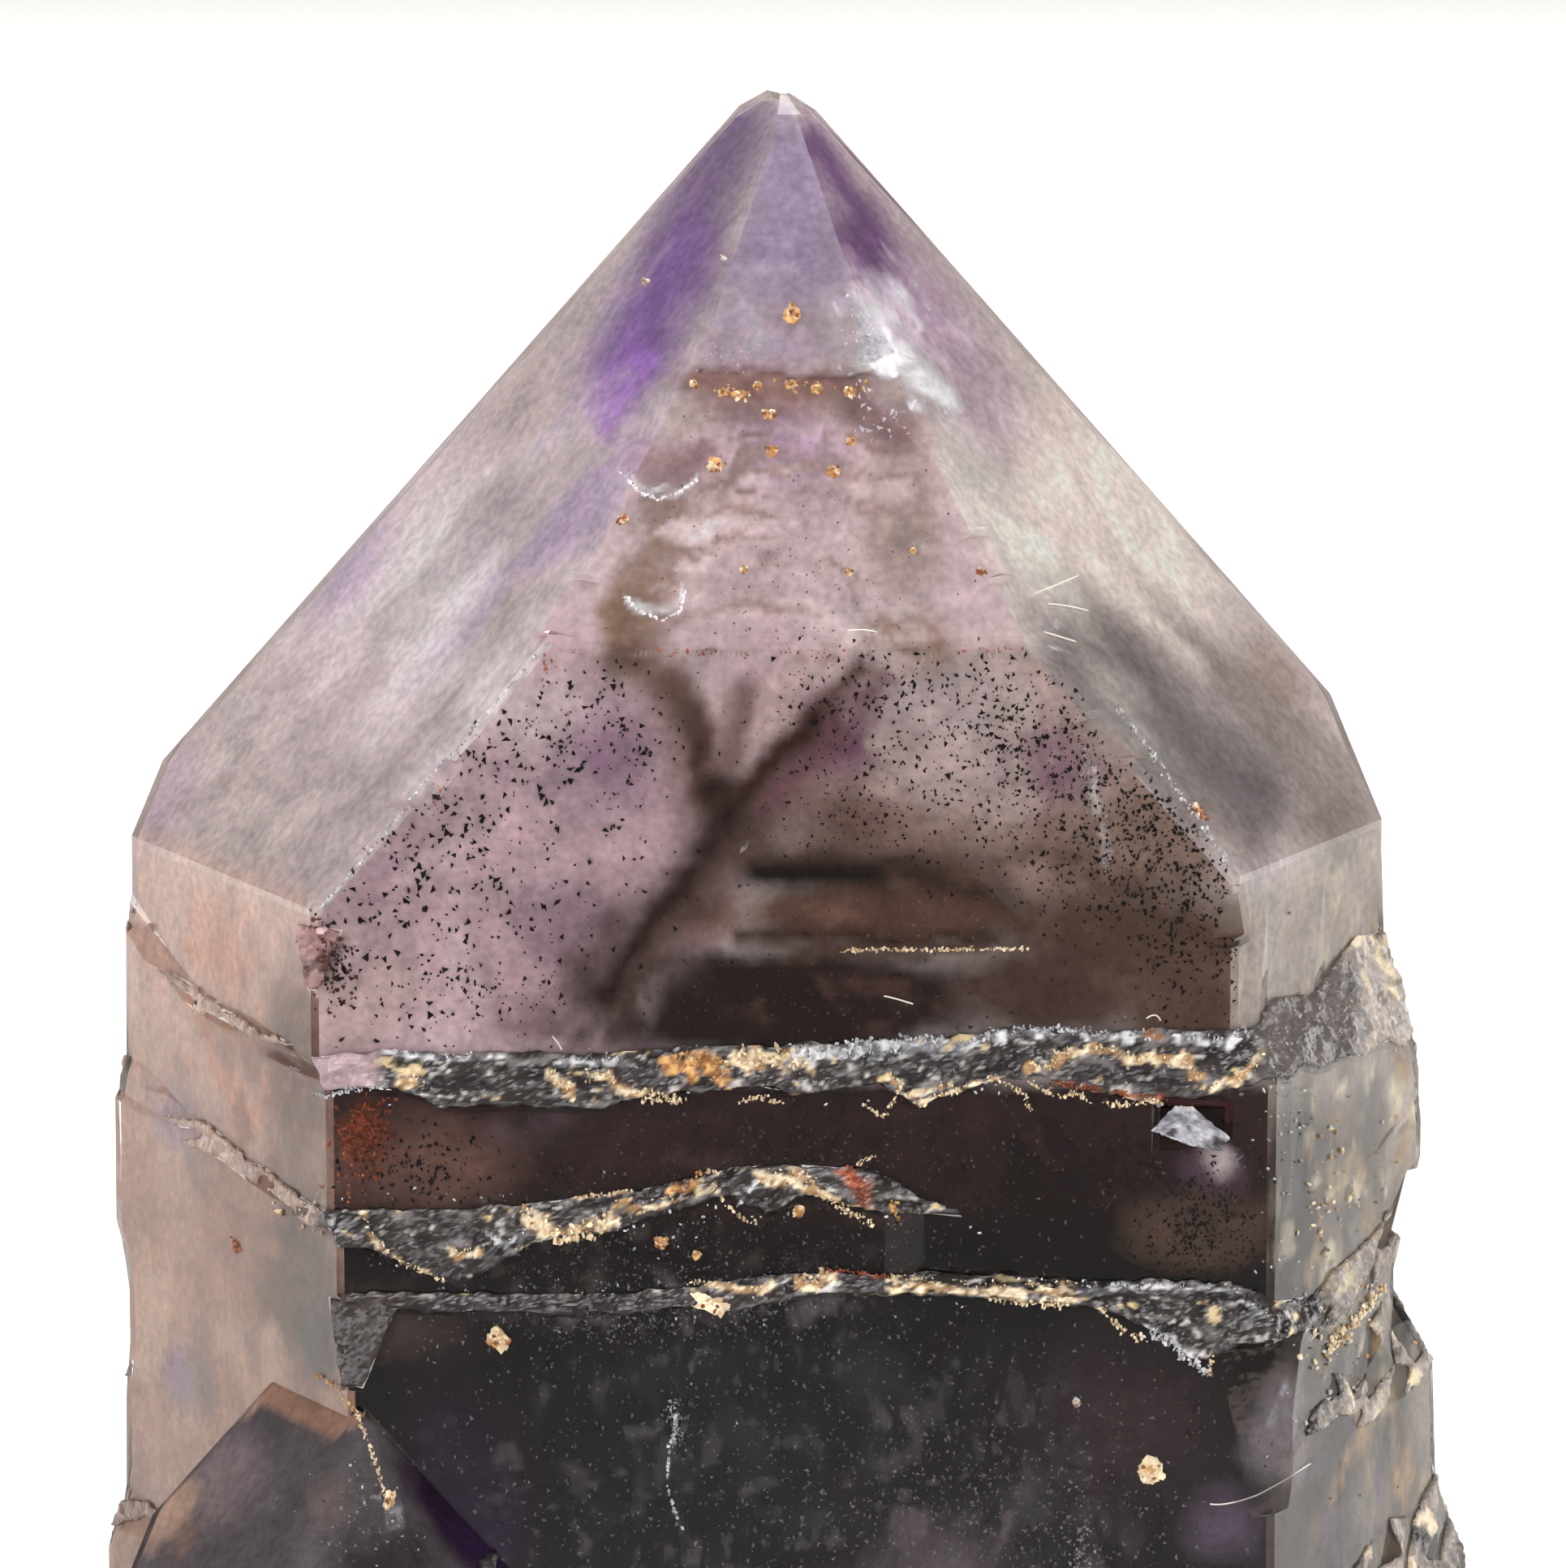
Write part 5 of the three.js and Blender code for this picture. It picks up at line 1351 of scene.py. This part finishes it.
class CRUMBS_OT_build(bpy.types.Operator):
    """Lines the ledges with cream, ochre, grey and rust crumbs and adds the single flecks"""
    bl_idname = "quartz.crumbs"
    bl_label = "Crumbs and flecks"

    def execute(self, context):
        chance = random.Random(context.scene.quartz_residue.seed + 1)
        tree = crystal_tree()
        spots = []
        for _, kind, half, way in RIMS:
            for start, end in zip(way, way[1:]):
                self.add_rim(spots, tree, chance, kind, half, start, end)
        for _, kind, (x, z), (wide, high), count, longest in PATCHES:
            for _ in range(count):
                length = longest * chance.uniform(0.3, 1.0) ** 1.5
                across = chance.gauss(x, wide)
                self.add(spots, tree, chance, kind, across, chance.gauss(z, high), length, 0.03)
        for fleck in FLECKS:
            self.add_fleck(spots, tree, chance, *fleck)
        material = painted_material("residue", 0.15, 9.0, 0.5, 0.4)
        scatter("residue_crumbs", crumb_shape(), spots, chance, material)
        return {"FINISHED"}

    def shade(self, kind, chance):
        light, dark = (linear(colour) for colour in CRUMB_COLOURS[kind])
        return between(dark, light, chance.random() ** 0.8)

    def add(self, spots, tree, chance, kind, x, z, length, lift):
        """A crumb on the crystal, where a line from the front meets it."""
        place, normal = touch(tree, x, z)
        if place is None:
            return
        sizes = Vector((length, length * chance.uniform(0.4, 0.9), length * chance.uniform(0.25, 0.6))) * MM
        spots.append((place + normal * lift * MM, any_turn(chance), sizes, self.shade(kind, chance)))

    def add_rim(self, spots, tree, chance, kind, half, start, end):
        """Crumbs along one straight stretch of a rim, more of them where it is wide."""
        length = math.dist(start, end)
        count = max(3, round(length / 0.04) + round(length * half * 260))
        for _ in range(count):
            share = chance.random()
            x = start[0] + (end[0] - start[0]) * share + chance.gauss(0, half * 0.5)
            z = start[1] + (end[1] - start[1]) * share + chance.gauss(0, half * 0.5)
            size = chance.uniform(0.4, 1.0) * min(0.22, max(0.12, half * 1.4))
            self.add(spots, tree, chance, kind, x, z, size, chance.uniform(0.0, 0.1))

    def add_fleck(self, spots, tree, chance, name, kind, x, z, width, height):
        """A fleck of overlapping crumbs: a few large ones in the middle and small ones round them."""
        place, normal = touch_or_stop(tree, x, z, name)
        turn = face_turn(normal, 0, 0, 0)
        for part in range(FLECK_CRUMBS):
            large = part < FLECK_LARGE_CRUMBS
            way, out = chance.uniform(0, 2 * math.pi), chance.uniform(0.0, 0.26 if large else 0.5)
            shift = Vector((math.cos(way) * width, math.sin(way) * height, 0)) * out * MM
            share = chance.uniform(0.7, 1.1) if large else chance.uniform(0.15, 0.42)
            sizes = Vector((width * share, height * share * chance.uniform(0.5, 1.1), 0.16)) * MM
            grain = chance.choice((kind, kind, "cream") if large else (kind, "cream", "ochre", "rust"))
            roll = face_turn(normal, 0, 0, chance.uniform(-1.5, 1.5))
            lift = 0.02 + part * 0.003
            spots.append((place + turn @ shift + normal * lift * MM, roll, sizes, self.shade(grain, chance)))


class VEILS_OT_build(bpy.types.Operator):
    """Sets the white fractures and feathers inside the crystal"""
    bl_idname = "quartz.veils"
    bl_label = "Fractures and feathers"

    def execute(self, context):
        tree = crystal_tree()
        material = painted_material("white veils", fineness=1.6, broken=True)
        sheets = [self.sheet(tree, number, *veil) for number, veil in enumerate(VEILS)]
        for sheet in sheets:
            sheet.select_set(True)
        bpy.context.view_layer.objects.active = sheets[0]
        bpy.ops.object.join()
        sheets[0].name = "white_veils"
        sheets[0].data.materials.append(material)
        place_on_body(sheets[0], casts_shadow=False)
        return {"FINISHED"}

    def sheet(self, tree, number, name, seen_at, depth, size, turn, density):
        """One ragged sheet under the crystal's face, leaning a little, that thins out to its edges."""
        place, normal = touch_or_stop(tree, *seen_at, name)
        deselect_all()
        bpy.ops.mesh.primitive_grid_add(x_subdivisions=VEIL_CELLS, y_subdivisions=VEIL_CELLS, size=1)
        sheet = bpy.context.object
        lean = face_turn(normal, *VEIL_LEAN, math.radians(turn))
        flat = read_numbers(sheet.data.vertices, "co", 3)
        ragged = broken_noise(flat * 4 + number * 5, 5)
        share = 1 - smooth_step(np.linalg.norm(flat[:, :2] * 2, axis=1) + 0.2 * ragged, 0.0, 0.85)
        store_paint(sheet.data, [(*linear(VEIL_COLOUR), density * part) for part in share])
        width, height = size
        for vertex, rise in zip(sheet.data.vertices, ragged):
            spread = Vector((vertex.co.x * width, vertex.co.y * height, rise * VEIL_RELIEF))
            vertex.co = place - normal * depth * MM + lean @ spread * MM
        return sheet


class CHIP_OT_build(bpy.types.Operator):
    """Makes the bright broken chip under the first ledge"""
    bl_idname = "quartz.chip"
    bl_label = "Bright chip"

    def execute(self, context):
        tree = crystal_tree()
        deselect_all()
        bpy.ops.mesh.primitive_circle_add(vertices=len(CHIP_OUTLINE), radius=1, fill_type="TRIFAN")
        chip = context.object
        chip.name = "bright_chip"
        hub, *rim = sorted(chip.data.vertices, key=lambda vertex: vertex.co.length)
        rim.sort(key=lambda vertex: math.atan2(vertex.co.y, vertex.co.x))
        rises = [CHIP_HUB_RISE] + [CHIP_RIM_RISE] * len(rim)
        for vertex, seen_at, rise in zip([hub, *rim], [CHIP_HUB, *CHIP_OUTLINE], rises):
            place, _ = touch_or_stop(tree, *seen_at, "the bright chip")
            vertex.co = place + Vector((0, -1, 0)) * rise * MM
        with edit_mode():
            bpy.ops.mesh.select_all(action="SELECT")
            bpy.ops.mesh.normals_make_consistent(inside=False)
            bpy.ops.mesh.subdivide(number_cuts=7)
            bpy.ops.transform.vertex_random(offset=0.03 * MM, seed=context.scene.quartz_residue.seed)
        apply_modifier(chip, "SOLIDIFY", thickness=0.05 * MM, offset=-1)
        chip.data.shade_flat()
        paint = Paint(chip, CHIP_COLOUR)
        for _, colour, fineness, low, high in CHIP_MISTS:
            paint.mist((8.9, -9, 34.5), (3, 3, 3), colour, 1.0, fineness, low, high)
        paint.cloud((9.6, -8.8, 34.2), (0.5, 1, 0.3), (52, 44, 50), 1.0, 0.3)
        paint.stroke((8.55, 35.0), (9.0, 35.0), 0.07, 0.07, (244, 238, 228), 1.0)
        paint.keep()
        chip.data.materials.append(painted_material("bright chip", 0.35, 7.0, 0.3, 0.6))
        place_on_body(chip)
        return {"FINISHED"}


class DUST_OT_build(bpy.types.Operator):
    """Lays the fine dust fibres on the crystal"""
    bl_idname = "quartz.dust"
    bl_label = "Dust fibres"

    def execute(self, context):
        tree = crystal_tree()
        material, _, _, shader = new_material("dust fibre")
        set_inputs(shader, {"Base Color": (*linear(FIBRE_COLOUR), 1), "Roughness": 0.8})
        for name, way in FIBRES:
            deselect_all()
            bpy.ops.curve.primitive_nurbs_path_add()
            fibre = context.object
            fibre.name = name
            line = fibre.data.splines[0]
            places = [touch_or_stop(tree, x, z, name) for x, z in way]
            # A new path has five points, so a shorter way ends with its last place repeated
            for index, point in enumerate(line.points):
                place, normal = places[min(index, len(places) - 1)]
                point.co = (*(place + normal * FIBRE_LIFT * MM), 1)
            line.use_endpoint_u = True
            fibre.data.bevel_depth = FIBRE_RADIUS * MM
            fibre.data.bevel_resolution = 1
            bpy.ops.object.convert(target="MESH")
            context.object.data.materials.append(material)
            keep_in_box(context.object)
            place_on_body(context.object)
        return {"FINISHED"}


class QUARTZ_PT_panel(bpy.types.Panel):
    """The steps that dress the crystal"""
    bl_label = "Quartz"
    bl_idname = "QUARTZ_PT_panel"
    bl_space_type = "VIEW_3D"
    bl_region_type = "UI"
    bl_category = "Quartz"

    def draw(self, context):
        scene = context.scene
        for settings in (scene.quartz_stage, scene.quartz_look, scene.quartz_residue):
            for name in settings.__annotations__:
                self.layout.prop(settings, name)
        for step in STEPS:
            self.layout.operator(step.bl_idname)


STEPS = (STAGE_OT_build, CLEAR_OT_build, HAZE_OT_build, HEART_OT_build, SPECKS_OT_build, RIND_OT_build,
         CRUMBS_OT_build, VEILS_OT_build, CHIP_OT_build, DUST_OT_build)
CLASSES = (StageSettings, QuartzSettings, ResidueSettings, *STEPS, QUARTZ_PT_panel)


def register():
    for kind in CLASSES:
        bpy.utils.register_class(kind)
    bpy.types.Scene.quartz_stage = bpy.props.PointerProperty(type=StageSettings)
    bpy.types.Scene.quartz_look = bpy.props.PointerProperty(type=QuartzSettings)
    bpy.types.Scene.quartz_residue = bpy.props.PointerProperty(type=ResidueSettings)


def unregister():
    del bpy.types.Scene.quartz_stage
    del bpy.types.Scene.quartz_look
    del bpy.types.Scene.quartz_residue
    for kind in reversed(CLASSES):
        bpy.utils.unregister_class(kind)


def main():
    register()
    bpy.context.scene.view_settings.view_transform = "Standard"
    bpy.ops.quartz.stage()
    bpy.ops.quartz.clear()
    bpy.ops.quartz.haze()
    bpy.ops.quartz.heart()
    bpy.ops.quartz.specks()
    bpy.ops.quartz.rind()
    bpy.ops.quartz.crumbs()
    bpy.ops.quartz.veils()
    bpy.ops.quartz.chip()
    bpy.ops.quartz.dust()


if __name__ == "__main__":
    main()
